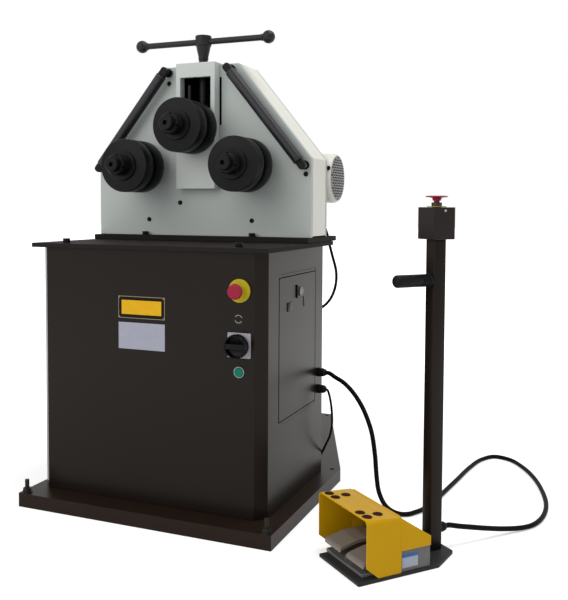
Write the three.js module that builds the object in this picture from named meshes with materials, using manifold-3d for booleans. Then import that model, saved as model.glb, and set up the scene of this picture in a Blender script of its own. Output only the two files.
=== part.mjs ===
// A floor-standing electric three-roll ring roller with its pedestal foot switch.
// Millimetres, +Z up. The middle plane of the machine is x = 0, the rolls face -Y and the floor is z = 0.
import * as THREE from "three";
import Module from "manifold-3d";
import { mergeVertices } from "three/addons/utils/BufferGeometryUtils.js";

const wasm = await Module();
wasm.setup();

// Shared allowances
const seat = 0.3; // gap between two pieces that touch
const overrun = 5; // how far a cut runs past what it cuts
const weld = 0.5; // how far two joined shapes reach into each other
const mergeDistance = 0.0001;

// Counts of facets
const roundSides = 24;
const middleSides = 18;
const smallSides = 12;
const ballRings = 8;

// Base tray
const baseHalfWidth = 380;
const baseHalfDepth = 272;
const baseShiftX = 13.3;
const baseHeight = 38.5;
const baseSheet = 5;
const baseShoulder = 8;
const tailLength = 607;
const tailEndHalfWidth = 148;
const ribWidth = 60;
const footHoleRadius = 7;
const footHoleInset = 22;
const tailHoleInset = 8;
const tailHoleBack = 25;
const studInset = 18;
const studFromFront = 14;
const studRadius = 6;
const studAbove = 36;
const nutAcross = 21;
const nutHeight = 10;
const washerRadius = 15;
const washerThickness = 2.5;

// Cabinet
const cabinetHalfWidth = 344;
const cabinetFront = -203.2;
const cabinetBack = 241.8;
const cabinetChamfer = 27;
const cabinetSheet = 3;
const cabinetTop = 720.1;
const doorLow = 267;
const doorHigh = 651;
const doorFrontY = -107;
const doorBackY = 181;
const doorReveal = 2.5;
const doorHingeReveal = 5;
const doorReturn = 12;
const hingePinRadius = 2;
const hingePinInset = 3;
const hingePinLength = 12;
const hingeLugSize = 9;
const hingeLugHeight = 10;
const lockY = 52;
const lockZ = 602;
const lockRadius = 10;
const lockRimRadius = 13;
const lockProud = 5;
const lockRimProud = 3;
const lockSlotWidth = 4;
const lockSlotDepth = 2;
const lockCamLength = 56;
const lockCamWidth = 16;
const lockCamThickness = 3;
const plateInset = 108;
const plateThickness = 3;
const plateTop = 660;
const contactorWidth = 54;
const contactorDepth = 62;
const contactorHeight = 86;
const contactorPitch = 66;
const contactorCount = 3;
const contactorFirstY = -92;
const contactorLow = 470;
const terminalWidth = 150;
const terminalDepth = 40;
const terminalHeight = 30;
const terminalLow = 330;

// Tabletop
const tableHalfWidth = 358;
const tableFront = -217;
const tableBack = 299;
const tableThickness = 12.4;

// Panel controls, all on one vertical line
const controlInset = 68;
const stopZ = 624;
const switchZ = 485.5;
const startZ = 417;
const panelHoleRadius = 11.5;
const controlStemRadius = 11;
const stopPlateRadius = 30;
const stopPlateThickness = 3;
const stopCollarRadius = 15;
const stopCollarLength = 12;
const stopStemRadius = 7;
const stopNeckRadius = 10;
const stopHeadRadius = 20;
const stopHeadThickness = 11;
const stopTravel = 4;
const contactBlockWidth = 30;
const contactBlockHeight = 42;
const contactBlockDepth = 34;
const switchSize = 64;
const switchThickness = 4;
const switchRingRadius = 25;
const switchRingLength = 5;
const switchBoreRadius = 5.3;
const knobRadius = 30;
const knobLength = 17;
const knobRim = 4;
const knobFloor = 5;
const knobEase = 3;
const gripWidth = 14;
const knobStemRadius = 5;
const startRimRadius = 15;
const startRimLength = 4;
const startCapRadius = 10;
const startCapProud = 2;
const startTravel = 3;

// Head
const headPlateHalfWidth = 356;
const headPlateFront = 80.6;
const headPlateBack = 332.5;
const headPlateThickness = 15;
const headHalfWidth = 353;
const headShoulderZ = 974;
const headTopZ = 1253;
const headTopHalfWidth = 126;
const headFront = 111;
const frontPlateThickness = 15;
const headBack = 248;
const rearPlateThickness = 12;
const coverSheet = 3;
const scaleSlotWidth = 6.5;
const scaleSlotLow = 1076;
const scaleSlotHigh = 1216;

// Guide housing for the top roll
const guideHalfWidth = 64;
const guideFront = 79;
const guideBack = 190;
const guideLow = 888;
const guideHigh = 1257;
const guideWall = 13;
const guideFrontWall = 14;
const guideFloor = 958;
const windowHalfWidth = 50;
const windowHigh = 1215;
const windowLow = 992;

// Top roll slide and feed screw
const slideUp = 45;
const slideDown = 14;
const blockHalfHeight = 52;
const guidePinX = -31;
const guidePinY = 103;
const guidePinRadius = 5;
const guidePinClearance = 4;
const screwY = 132;
const screwRadius = 13.5;
const screwStepRadius = 9;
const screwStepLength = 16;
const hubRadius = 26.5;
const hubLow = 1318;
const hubHigh = 1345;
const hubTaperLow = 1284;
const hubTaperHigh = 1312;
const hubTaperRadius = 24;
const screwNeckRadius = 17;
const screwNeckClearance = 1.5;
const barZ = 1326;
const barRadius = 9;
const barReach = 211;
const ballRadius = 19;

// Rolls and shafts
const lowerRollX = 175.3;
const lowerRollZ = 953.6;
const topRollZ = 1065.6;
const rollRadius = 77;
const rollEase = 2;
const rollFront = -34;
const grooveFront = 8;
const grooveBack = 32;
const rollBack = 70;
const grooveRadius = 40;
const bossRadius = 44;
const bossLength = 10;
const nutRadius = 30;
const nutLength = 36;
const nutSlotWidth = 7;
const nutSlotDepth = 4;
const nutSlotCount = 4;
const shaftRadius = 20;
const shaftTip = -98;
const shaftBodyRadius = 25;
const socketHalf = 6;
const socketDepth = 12;

// Gear train in the head
const gearFront = 203;
const gearThickness = 25;
const gearTeeth = 30;
const pinionTeeth = 15;
const pinionZ = 984;
const pinionShaftRadius = 16;
const gearSeatRadius = 21;
const rearJournalRadius = 18;
const addendumShare = 0.85;
const dedendumShare = 1.15;
const rootToothShare = 0.62;
const tipToothShare = 0.26;

// Gearbox and motor
const gearboxHalfWidth = 78;
const gearboxDepth = 118;
const gearboxLow = 846;
const gearboxHigh = 1064;
const gearboxEase = 18;
const motorY = 325;
const motorZ = 921;
const motorRadius = 70;
const motorFlangeRadius = 75;
const motorFlangeThickness = 12;
const motorFinCount = 18;
const motorFinHeight = 7;
const motorBarrelRadius = 62;
const motorBarrelEnd = 305;
const motorShaftRadius = 8;
const fanCoverEnd = 363;
const fanCoverSheet = 2;
const fanCoverEase = 9;
const fanHubRadius = 16;
const fanBladeReach = 54;
const fanBladeThickness = 3;
const fanBladeCount = 6;
const fanStart = 318;
const fanLength = 26;
const slotColumns = 7;
const slotPitch = 15;
const slotWidth = 7;
const slotMarginShare = 0.9;
const slotBridge = 8;
const terminalBoxHalf = 40;
const terminalBoxHeight = 42;
const terminalBoxX = 215;

// Side guide bars
const sideBarY = 80;
const sideBarRadius = 15.5;
const sideStudRadius = 8;
const sideCollarRadius = 12;
const sideCollarLength = 8;
const sideHighX = 104.5;
const sideHighZ = 1236;
const sideLowX = 335;
const sideLowZ = 954;
const sideTangLength = 26;
const sideTangThickness = 12;
const sideTangHalf = 13;

// Cable glands on the cabinet
const glandY = 211;
const glandUpperZ = 345;
const glandLowerZ = 295;
const glandHexRadius = 14;
const glandHexLength = 8;
const glandDomeRadius = 11;
const glandTipRadius = 8;
const glandLength = 24;
const glandThreadRadius = 9;
const glandThreadLength = 10;
const rearGlandInset = 54;
const rearGlandZ = 515;
const rearGlandShare = 0.8;

// Cords
const footCordRadius = 5.6;
const mainsCordRadius = 3.25;
const motorCordRadius = 2.6;
const cordSides = 8;
const footCordSteps = 72;
const motorCordSteps = 36;
const mainsCordSteps = 46;
const thinCordSides = 8;
const coilSides = 6;
const coilSteps = 24;
const coilLayers = 4;
const coilTurnsPerLayer = 2;
const coilInnerRadius = 27;
const coilPitch = 7.3;
const coilX = 120;
const coilY = 420;
const coilLead = 50;
const plugNeckRadius = 10;
const plugNeckLength = 30;
const plugBodyLength = 70;
const plugSkirt = 3;
const plugSkirtDepth = 34;
const plugPinRadius = 3;
const plugPinCircle = 12;
const plugPinLength = 28;
const plugPinCount = 5;

// Pedestal, in its own axes: x to its right, y to its back
const pedestalX = 752.1;
const pedestalY = -116.1;
const pedestalTurn = -41;
const pedestalPlateThickness = 8;
const pedestalPlateFront = -262;
const pedestalPlateShoulder = -41;
const pedestalPlateBack = 37;
const pedestalPlateLeft = -93;
const pedestalPlateRight = 82;
const pedestalPlateEndHalf = 35;
const postHalf = 15;
const postSheet = 2;
const postTop = 764;
const boxHalf = 31.2;
const boxLow = 760.6;
const boxHigh = 836.9;
const boxSheet = 2;
const towerPlateThickness = 2;
const towerCollarRadius = 12.5;
const towerCollarLength = 9;
const towerHeadRadius = 26.8;
const towerHeadThickness = 6;
const towerNeckRadius = 10;
const towerNeckLength = 10;
const gripZ = 663;
const gripReach = 119;
const gripRadius = 13;
const gripCollarRadius = 17.5;
const gripCollarLength = 8;
const pedestalGlandZ = 56;

// Pedal unit, in the pedestal's axes
const guardLeft = -134;
const guardRight = 80;
const guardSheet = 2.5;
const guardTop = 143;
const guardRound = 12;
const guardFrontY = -240;
const guardFrontLowZ = 35;
const guardCutY = -208;
const guardStepY = -146;
const guardStepZ = 58;
const guardBendY = -150;
const guardBendZ = 136;
const guardTailY = -64;
const guardTailZ = 80;
const guardHoleRadius = 9.5;
const guardHoleFrontY = -224;
const guardHoleBackY = -189;
const guardHoleSpread = 14.5;
const guardHoleShift = 4.5;
const guardClusterLeft = -97.5;
const guardClusterRight = 40;
const trayFront = -240;
const trayTop = 14;
const trayLeft = -96;
const trayRight = 62;
const unitBack = -64;
const unitFront = -100;
const unitTop = 64;
const pedalPivotY = -132;
const pedalPivotZ = 42;
const pedalPinRadius = 4;
const pedalEarRadius = 8;
const pedalFront = -243;
const pedalThickness = 7;
const pedalTopZ = 43;
const pedalLip = 5;
const pedalCrestY = -196;
const pedalCrestEndY = -166;
const pedalCrestZ = 52;
const pedalCrestEndZ = 53.5;
const leftPedalFrom = -98;
const leftPedalTo = -28;
const rightPedalFrom = 0;
const rightPedalTo = 70;
const pedalEarThickness = 6;

// Colours and finishes
const finishes = {
  blackPaint: { color: 0x2e2724, roughness: 0.35, metalness: 0.1 },
  greyPaint: { color: 0xc3c9c9, roughness: 0.4, metalness: 0.05 },
  creamPaint: { color: 0xe8e8da, roughness: 0.45, metalness: 0.05 },
  blackSteel: { color: 0x1d1c1c, roughness: 0.45, metalness: 0.6 },
  steel: { color: 0x9a9b9c, roughness: 0.35, metalness: 0.9 },
  zinc: { color: 0xb9bbbd, roughness: 0.3, metalness: 0.9 },
  black: { color: 0x171717, roughness: 0.5, metalness: 0 },
  yellow: { color: 0xe3b21f, roughness: 0.45, metalness: 0 },
  red: { color: 0xc02a20, roughness: 0.4, metalness: 0 },
  green: { color: 0x2f8f6d, roughness: 0.4, metalness: 0 },
  grey: { color: 0x7d7f82, roughness: 0.5, metalness: 0.2 },
};

const object = new THREE.Group();
const pedestal = new THREE.Group();
pedestal.position.set(pedestalX, pedestalY, 0);
pedestal.rotation.z = THREE.MathUtils.degToRad(pedestalTurn);
object.add(pedestal);

// A closed geometry as a manifold solid, with its faces turned outwards.
function solid(geometry) {
  const plain = geometry.index ? geometry.toNonIndexed() : geometry;
  const bare = new THREE.BufferGeometry();
  bare.setAttribute("position", plain.getAttribute("position"));
  const merged = mergeVertices(bare, mergeDistance);
  const index = merged.index.array;
  const triangles = [];
  for (let i = 0; i < index.length; i += 3) {
    const [a, b, c] = [index[i], index[i + 1], index[i + 2]];
    if (a !== b && b !== c && c !== a) triangles.push(a, b, c);
  }
  const vertProperties = new Float32Array(merged.attributes.position.array);
  const build = (order) =>
    new wasm.Manifold(
      new wasm.Mesh({ numProp: 3, vertProperties, triVerts: new Uint32Array(order) }),
    );
  const made = build(triangles);
  if (made.volume() >= 0) return made;
  const turned = triangles.slice();
  for (let i = 0; i < turned.length; i += 3) {
    [turned[i + 1], turned[i + 2]] = [turned[i + 2], turned[i + 1]];
  }
  return build(turned);
}

// A manifold solid back as a geometry.
function geometryOf(body) {
  const mesh = body.getMesh();
  const positions = new Float32Array(mesh.numVert * 3);
  for (let i = 0; i < mesh.numVert; i += 1) {
    positions.set(mesh.vertProperties.subarray(i * mesh.numProp, i * mesh.numProp + 3), i * 3);
  }
  const geometry = new THREE.BufferGeometry();
  geometry.setAttribute("position", new THREE.BufferAttribute(positions, 3));
  geometry.setIndex(new THREE.BufferAttribute(mesh.triVerts, 1));
  geometry.computeVertexNormals();
  return geometry;
}

function addPiece(name, body, finish, group = object) {
  const mesh = new THREE.Mesh(geometryOf(body), new THREE.MeshStandardMaterial(finishes[finish]));
  mesh.name = name;
  group.add(mesh);
}

function joined(...bodies) {
  return bodies.reduce((whole, body) => whole.add(body));
}

function cut(body, ...tools) {
  return tools.reduce((rest, tool) => rest.subtract(tool), body);
}

// A box between two corners.
function block([x0, x1], [y0, y1], [z0, z1]) {
  const geometry = new THREE.BoxGeometry(x1 - x0, y1 - y0, z1 - z0);
  geometry.translate((x0 + x1) / 2, (y0 + y1) / 2, (z0 + z1) / 2);
  return solid(geometry);
}

const axisTurn = {
  x: new THREE.Matrix4().makeRotationZ(-Math.PI / 2),
  y: new THREE.Matrix4(),
  z: new THREE.Matrix4().makeRotationX(Math.PI / 2),
};

// A profile of [radius, place along the axis] points turned about an axis through `centre`.
function turned(axis, centre, profile, sides = middleSides) {
  const points = [...profile, profile[0]].map(([r, along]) => new THREE.Vector2(r, along));
  const geometry = new THREE.LatheGeometry(points, sides);
  geometry.applyMatrix4(axisTurn[axis]);
  geometry.translate(...centre);
  return solid(geometry);
}

function rod(axis, centre, radius, from, to, sides = smallSides) {
  return turned(axis, centre, [[0, from], [radius, from], [radius, to], [0, to]], sides);
}

const axisBasis = {
  x: new THREE.Matrix4().makeBasis(
    new THREE.Vector3(0, 1, 0),
    new THREE.Vector3(0, 0, 1),
    new THREE.Vector3(1, 0, 0),
  ),
  y: new THREE.Matrix4().makeBasis(
    new THREE.Vector3(1, 0, 0),
    new THREE.Vector3(0, 0, 1),
    new THREE.Vector3(0, -1, 0),
  ),
  z: new THREE.Matrix4(),
};

// An outline extruded along an axis. Along x it is drawn in (y, z), along y in (x, z), along z in (x, y).
function extruded(axis, outline, from, to, holes = []) {
  const shape = new THREE.Shape(outline.map(([a, b]) => new THREE.Vector2(a, b)));
  for (const hole of holes) {
    shape.holes.push(new THREE.Path(hole.map(([a, b]) => new THREE.Vector2(a, b))));
  }
  const geometry = new THREE.ExtrudeGeometry(shape, { depth: to - from, bevelEnabled: false });
  geometry.applyMatrix4(axisBasis[axis]);
  const shift = axis === "y" ? to : from;
  geometry.translate(axis === "x" ? shift : 0, axis === "y" ? shift : 0, axis === "z" ? shift : 0);
  return solid(geometry);
}

// Points of an arc, in degrees.
function arc(cx, cy, radius, fromAngle, toAngle, steps) {
  return Array.from({ length: steps + 1 }, (_, i) => {
    const angle = THREE.MathUtils.degToRad(fromAngle + ((toAngle - fromAngle) * i) / steps);
    return [cx + radius * Math.cos(angle), cy + radius * Math.sin(angle)];
  });
}

// A convex outline drawn anticlockwise, moved inwards by `wall`.
function inset(outline, wall) {
  const count = outline.length;
  const lines = outline.map(([x, y], i) => {
    const [nextX, nextY] = outline[(i + 1) % count];
    const length = Math.hypot(nextX - x, nextY - y);
    const [dx, dy] = [(nextX - x) / length, (nextY - y) / length];
    return { x: x - dy * wall, y: y + dx * wall, dx, dy };
  });
  return lines.map((line, i) => {
    const before = lines[(i + count - 1) % count];
    const cross = before.dx * line.dy - before.dy * line.dx;
    const t = ((line.x - before.x) * line.dy - (line.y - before.y) * line.dx) / cross;
    return [before.x + before.dx * t, before.y + before.dy * t];
  });
}

// A tube of `sides` sides along hand-chosen points; its ends are square to the first and last stretch.
function cordAlong(points, radius, sides, steps) {
  const path = new THREE.CatmullRomCurve3(
    points.map((point) => new THREE.Vector3(...point)),
    false,
    "centripetal",
  );
  const section = new THREE.Shape(
    arc(0, 0, radius, 0, 360, sides)
      .slice(0, sides)
      .map(([a, b]) => new THREE.Vector2(a, b)),
  );
  return solid(new THREE.ExtrudeGeometry(section, { steps, extrudePath: path, bevelEnabled: false }));
}

// Base tray: a folded sheet lid with skirts, a rib across its middle and two studs with their nuts.
const baseOutline = [
  [baseShiftX - baseHalfWidth, -baseHalfDepth],
  [baseShiftX + baseHalfWidth, -baseHalfDepth],
  [baseShiftX + baseHalfWidth, baseHalfDepth + baseShoulder],
  [baseShiftX + tailEndHalfWidth, baseHalfDepth + baseShoulder + tailLength],
  [baseShiftX - tailEndHalfWidth, baseHalfDepth + baseShoulder + tailLength],
  [baseShiftX - baseHalfWidth, baseHalfDepth + baseShoulder],
];

function hexagon(x, y, across) {
  return arc(x, y, across / 2 / Math.cos(Math.PI / 6), 0, 360, 6).slice(0, 6);
}

function floorStud(x, y) {
  const washerTop = baseHeight + washerThickness;
  return joined(
    rod("z", [x, y, 0], washerRadius, baseHeight - weld, washerTop),
    extruded("z", hexagon(x, y, nutAcross), washerTop - weld, washerTop + nutHeight),
    rod("z", [x, y, 0], studRadius, baseHeight - baseSheet, baseHeight + studAbove, smallSides),
  );
}

function makeBase() {
  const hollow = extruded("z", inset(baseOutline, baseSheet), -overrun, baseHeight - baseSheet);
  const ribRight = baseShiftX + baseHalfWidth - baseSheet + weld;
  const ribLeft = baseShiftX - baseHalfWidth + baseSheet - weld;
  const rib = block(
    [ribLeft, ribRight],
    [-ribWidth / 2, ribWidth / 2],
    [0, baseHeight - baseSheet + weld],
  );
  const sideX = baseHalfWidth - footHoleInset;
  const tailX = tailEndHalfWidth - tailHoleInset;
  const backY = baseHalfDepth + baseShoulder + tailLength;
  const places = [
    [-sideX, baseHalfDepth - footHoleInset / 3],
    [sideX, baseHalfDepth - footHoleInset / 3],
    [-tailX, backY - tailHoleBack],
    [tailX, backY - tailHoleBack],
  ];
  const holes = places.map(([x, y]) =>
    rod("z", [baseShiftX + x, y, 0], footHoleRadius, 0, baseHeight + overrun),
  );
  const tray = cut(
    joined(cut(extruded("z", baseOutline, 0, baseHeight), hollow), rib),
    ...holes,
  );
  const studX = baseHalfWidth - studInset;
  const studY = -baseHalfDepth + studFromFront;
  return joined(tray, floorStud(baseShiftX - studX, studY), floorStud(baseShiftX + studX, studY));
}
addPiece("base_tray", makeBase(), "blackPaint");

// Cabinet: a folded sheet tube with chamfered front corners, a doorway and holes for the controls and glands.
const cabinetOutline = [
  [-cabinetHalfWidth + cabinetChamfer, cabinetFront],
  [cabinetHalfWidth - cabinetChamfer, cabinetFront],
  [cabinetHalfWidth, cabinetFront + cabinetChamfer],
  [cabinetHalfWidth, cabinetBack],
  [-cabinetHalfWidth, cabinetBack],
  [-cabinetHalfWidth, cabinetFront + cabinetChamfer],
];
const cabinetLow = baseHeight + seat;
const wallInnerX = cabinetHalfWidth - cabinetSheet;
const plateX = cabinetHalfWidth - plateInset;
const controlX = cabinetHalfWidth - controlInset;
const rearGlandX = cabinetHalfWidth - rearGlandInset;
const hingeX = wallInnerX - hingePinRadius - seat;
const doorEdgeY = doorFrontY + doorHingeReveal;
const hingeY = doorEdgeY + hingePinInset;

function makeCabinet() {
  const walls = extruded("z", cabinetOutline, cabinetLow, cabinetTop, [
    inset(cabinetOutline, cabinetSheet),
  ]);
  const doorway = block(
    [wallInnerX - overrun, cabinetHalfWidth + overrun],
    [doorFrontY, doorBackY],
    [doorLow, doorHigh],
  );
  const lug = (low, high) =>
    cut(
      block(
        [hingeX - hingeLugSize / 2, wallInnerX + weld],
        [hingeY - hingeLugSize / 2, hingeY + hingeLugSize / 2],
        [low, high],
      ),
      rod("z", [hingeX, hingeY, 0], hingePinRadius + seat, low - overrun, high + overrun),
    );
  const frontHole = (z) =>
    rod(
      "y",
      [controlX, 0, z],
      panelHoleRadius,
      cabinetFront - overrun,
      cabinetFront + cabinetSheet + overrun,
    );
  const sideHole = (z) =>
    rod(
      "x",
      [0, glandY, z],
      glandThreadRadius + seat,
      wallInnerX - overrun,
      cabinetHalfWidth + overrun,
    );
  const rearHole = rod(
    "y",
    [rearGlandX, 0, rearGlandZ],
    glandThreadRadius * rearGlandShare + seat,
    cabinetBack - cabinetSheet - overrun,
    cabinetBack + overrun,
  );
  const shell = cut(
    walls,
    doorway,
    frontHole(stopZ),
    frontHole(switchZ),
    frontHole(startZ),
    sideHole(glandUpperZ),
    sideHole(glandLowerZ),
    rearHole,
  );
  return joined(
    shell,
    lug(doorLow - hingeLugHeight, doorLow - seat),
    lug(doorHigh + seat, doorHigh + hingeLugHeight),
  );
}
addPiece("cabinet_shell", makeCabinet(), "blackPaint");

// Door: a flush pan with returns on three sides, hung on two pins behind its front edge.
function makeDoor() {
  const low = doorLow + doorReveal;
  const high = doorHigh - doorReveal;
  const backY = doorBackY - doorReveal;
  const returnX = wallInnerX - doorReturn;
  const face = block([wallInnerX, cabinetHalfWidth], [doorEdgeY, backY], [low, high]);
  const rim = joined(
    block([returnX, wallInnerX + weld], [doorEdgeY, doorEdgeY + cabinetSheet], [low, high]),
    block([returnX, wallInnerX + weld], [backY - cabinetSheet, backY], [low, high]),
    block([returnX, wallInnerX + weld], [doorEdgeY, backY], [low, low + cabinetSheet]),
    block(
      [returnX, wallInnerX + weld],
      [doorEdgeY, hingeY + hingeLugSize],
      [high - cabinetSheet, high],
    ),
  );
  const pin = (from, to) => rod("z", [hingeX, hingeY, 0], hingePinRadius, from, to);
  const lockHole = rod(
    "x",
    [0, lockY, lockZ],
    lockRadius + seat,
    wallInnerX - overrun,
    cabinetHalfWidth + overrun,
    middleSides,
  );
  return cut(
    joined(
      face,
      rim,
      pin(low - hingePinLength, low + weld),
      pin(high - weld, high + hingePinLength),
    ),
    lockHole,
  );
}
addPiece("cabinet_door", makeDoor(), "blackPaint");

// Quarter-turn lock: its slotted barrel, the rim outside and the cam that turns behind the frame.
function makeLock() {
  const centre = [0, lockY, lockZ];
  const face = cabinetHalfWidth + seat;
  const camBack = wallInnerX - seat - lockCamThickness;
  const barrel = turned("x", centre, [
    [0, camBack],
    [lockRadius, camBack],
    [lockRadius, face],
    [lockRimRadius, face],
    [lockRimRadius, face + lockRimProud],
    [lockRadius, face + lockProud],
    [0, face + lockProud],
  ]);
  const slot = block(
    [face + lockProud - lockSlotDepth, face + lockProud + overrun],
    [lockY - lockSlotWidth / 2, lockY + lockSlotWidth / 2],
    [lockZ - lockRadius, lockZ + lockRadius],
  );
  const cam = block(
    [camBack, camBack + lockCamThickness],
    [lockY, lockY + lockCamLength],
    [lockZ - lockCamWidth / 2, lockZ + lockCamWidth / 2],
  );
  return joined(cut(barrel, slot), cam);
}
addPiece("door_lock", makeLock(), "zinc");

// Electrics plate: a partition behind the doorway with its row of contactors and a terminal strip.
function makeElectricsPlate() {
  const front = plateX + plateThickness;
  const plate = block(
    [plateX, front],
    [cabinetFront + cabinetSheet + seat, cabinetBack - cabinetSheet - seat],
    [cabinetLow, plateTop],
  );
  const blocks = [];
  for (let i = 0; i < contactorCount; i += 1) {
    const y = contactorFirstY + i * contactorPitch;
    blocks.push(
      block(
        [front - weld, front + contactorDepth],
        [y, y + contactorWidth],
        [contactorLow, contactorLow + contactorHeight],
      ),
    );
  }
  const strip = block(
    [front - weld, front + terminalDepth],
    [contactorFirstY, contactorFirstY + terminalWidth],
    [terminalLow, terminalLow + terminalHeight],
  );
  return joined(plate, strip, ...blocks);
}
addPiece("electrics_plate", makeElectricsPlate(), "steel");

// Tabletop
const tableLow = cabinetTop + seat;
const tableTop = cabinetTop + tableThickness;
addPiece(
  "tabletop",
  block([-tableHalfWidth, tableHalfWidth], [tableFront, tableBack], [tableLow, tableTop]),
  "blackPaint",
);

// Panel controls, each with its stem through the sheet and its contact block behind
const panelFace = cabinetFront - seat;
const panelInside = cabinetFront + cabinetSheet + seat;

function contactBlock(z) {
  return block(
    [controlX - contactBlockWidth / 2, controlX + contactBlockWidth / 2],
    [panelInside, panelInside + contactBlockDepth],
    [z - contactBlockHeight / 2, z + contactBlockHeight / 2],
  );
}

function controlBody(z, profile, boreRadius, boreEnd) {
  const centre = [controlX, 0, z];
  const outside = turned("y", centre, profile);
  const stem = rod("y", centre, controlStemRadius, panelFace - weld, panelInside + weld);
  const bore = rod("y", centre, boreRadius, -cabinetHalfWidth, boreEnd, middleSides);
  return cut(joined(outside, stem, contactBlock(z)), bore);
}

const stopCollarEnd = panelFace - stopPlateThickness - stopCollarLength;
const stopBoreEnd = panelInside + stopTravel + seat;
addPiece(
  "estop_base",
  controlBody(
    stopZ,
    [
      [0, panelFace],
      [stopPlateRadius, panelFace],
      [stopPlateRadius, panelFace - stopPlateThickness],
      [stopCollarRadius, panelFace - stopPlateThickness],
      [stopCollarRadius, stopCollarEnd],
      [0, stopCollarEnd],
    ],
    stopStemRadius + seat,
    stopBoreEnd,
  ),
  "yellow",
);

// A mushroom button along -Y: its stem in the collar, a neck and a domed head.
function mushroom(centre, axis, way, collarEnd, sizes) {
  const start = collarEnd + way * (sizes.travel + seat);
  const headLow = start + way * sizes.neckLength;
  const headHigh = headLow + way * sizes.headThickness;
  const stemEnd = collarEnd - way * sizes.stemLength;
  return turned(axis, centre, [
    [0, stemEnd],
    [sizes.stemRadius, stemEnd],
    [sizes.stemRadius, start],
    [sizes.neckRadius, start],
    [sizes.neckRadius, headLow],
    [sizes.headRadius, headLow + (way * sizes.headThickness) / 4],
    [sizes.headRadius, headLow + (way * sizes.headThickness) / 2],
    [sizes.headRadius * sizes.domeShare, headHigh],
    [0, headHigh],
  ]);
}

addPiece(
  "estop_button",
  mushroom([controlX, 0, stopZ], "y", -1, stopCollarEnd, {
    travel: stopTravel,
    neckLength: stopTravel,
    headThickness: stopHeadThickness,
    stemLength: stopCollarLength,
    stemRadius: stopStemRadius,
    neckRadius: stopNeckRadius,
    headRadius: stopHeadRadius,
    domeShare: 0.8,
  }),
  "red",
);

const switchRingEnd = panelFace - switchThickness - switchRingLength;
function makeSwitchPlate() {
  const half = switchSize / 2;
  const plate = block(
    [controlX - half, controlX + half],
    [panelFace - switchThickness, panelFace],
    [switchZ - half, switchZ + half],
  );
  const ring = controlBody(
    switchZ,
    [
      [0, panelFace],
      [switchRingRadius, panelFace],
      [switchRingRadius, switchRingEnd],
      [0, switchRingEnd],
    ],
    switchBoreRadius,
    panelInside,
  );
  const bore = rod(
    "y",
    [controlX, 0, switchZ],
    switchBoreRadius,
    switchRingEnd - overrun,
    panelInside,
    middleSides,
  );
  return cut(joined(plate, ring), bore);
}
addPiece("switch_plate", makeSwitchPlate(), "grey");

// A round cup with a level grip bar across its hollow front
function makeSwitchKnob() {
  const start = switchRingEnd - seat;
  const face = start - knobLength;
  const cupRadius = knobRadius - knobRim;
  const centre = [controlX, 0, switchZ];
  const cup = turned("y", centre, [
    [0, start],
    [knobRadius, start],
    [knobRadius, face + knobEase],
    [knobRadius - knobEase, face],
    [cupRadius, face],
    [cupRadius, start - knobFloor],
    [0, start - knobFloor],
  ], roundSides);
  return joined(
    cup,
    rod("y", centre, knobStemRadius, start - weld, panelInside - seat, middleSides),
    block(
      [controlX - cupRadius - weld, controlX + cupRadius + weld],
      [face + weld, start - weld],
      [switchZ - gripWidth / 2, switchZ + gripWidth / 2],
    ),
  );
}
addPiece("switch_knob", makeSwitchKnob(), "black");

const startRimEnd = panelFace - startRimLength;
addPiece(
  "start_bezel",
  controlBody(
    startZ,
    [
      [0, panelFace],
      [startRimRadius, panelFace],
      [startRimRadius, startRimEnd],
      [0, startRimEnd],
    ],
    startCapRadius + seat,
    panelInside,
  ),
  "zinc",
);
addPiece(
  "start_button",
  rod(
    "y",
    [controlX, 0, startZ],
    startCapRadius,
    startRimEnd - startCapProud,
    panelInside - startTravel - seat,
    middleSides,
  ),
  "green",
);

// Head: base plate, front plate, rear plate and the folded cover between them
const headPlateLow = tableTop + seat;
const headPlateTop = headPlateLow + headPlateThickness;
const headLow = headPlateTop + seat;
addPiece(
  "head_base_plate",
  block(
    [-headPlateHalfWidth, headPlateHalfWidth],
    [headPlateFront, headPlateBack],
    [headPlateLow, headPlateTop],
  ),
  "blackPaint",
);

const headOutline = [
  [-headHalfWidth, headLow],
  [headHalfWidth, headLow],
  [headHalfWidth, headShoulderZ],
  [headTopHalfWidth, headTopZ],
  [-headTopHalfWidth, headTopZ],
  [-headHalfWidth, headShoulderZ],
];
const frontPlateBack = headFront + frontPlateThickness;
const rearPlateFront = headBack - rearPlateThickness;

const guideClearance = block(
  [-guideHalfWidth - seat, guideHalfWidth + seat],
  [guideFront - overrun, guideBack + seat],
  [guideLow - seat, guideHigh + overrun],
);

// The flats of a bore that a shaft turns in, and not only its corners, clear the shaft's corners.
function runningRadius(radius) {
  return (radius + seat) / Math.cos(Math.PI / middleSides);
}

function shaftHoles(radius, from, to) {
  return [-lowerRollX, lowerRollX].map((x) => rod("y", [x, 0, lowerRollZ], radius, from, to, middleSides));
}

function makeFrontPlate() {
  const plate = extruded("y", headOutline, headFront, frontPlateBack);
  const scaleSlot = block(
    [guideHalfWidth - overrun, guideHalfWidth + seat + scaleSlotWidth],
    [headFront - overrun, frontPlateBack + overrun],
    [scaleSlotLow, scaleSlotHigh],
  );
  return cut(
    plate,
    guideClearance,
    scaleSlot,
    ...shaftHoles(runningRadius(shaftBodyRadius), headFront - overrun, frontPlateBack + overrun),
  );
}
addPiece("head_front_plate", makeFrontPlate(), "greyPaint");

function makeRearPlate() {
  const plate = extruded("y", headOutline, rearPlateFront, headBack);
  const pinionHole = rod(
    "y",
    [0, 0, pinionZ],
    runningRadius(pinionShaftRadius),
    rearPlateFront - overrun,
    headBack + overrun,
    middleSides,
  );
  return cut(
    plate,
    pinionHole,
    ...shaftHoles(runningRadius(rearJournalRadius), rearPlateFront - overrun, headBack + overrun),
  );
}
addPiece("head_rear_plate", makeRearPlate(), "greyPaint");

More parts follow.
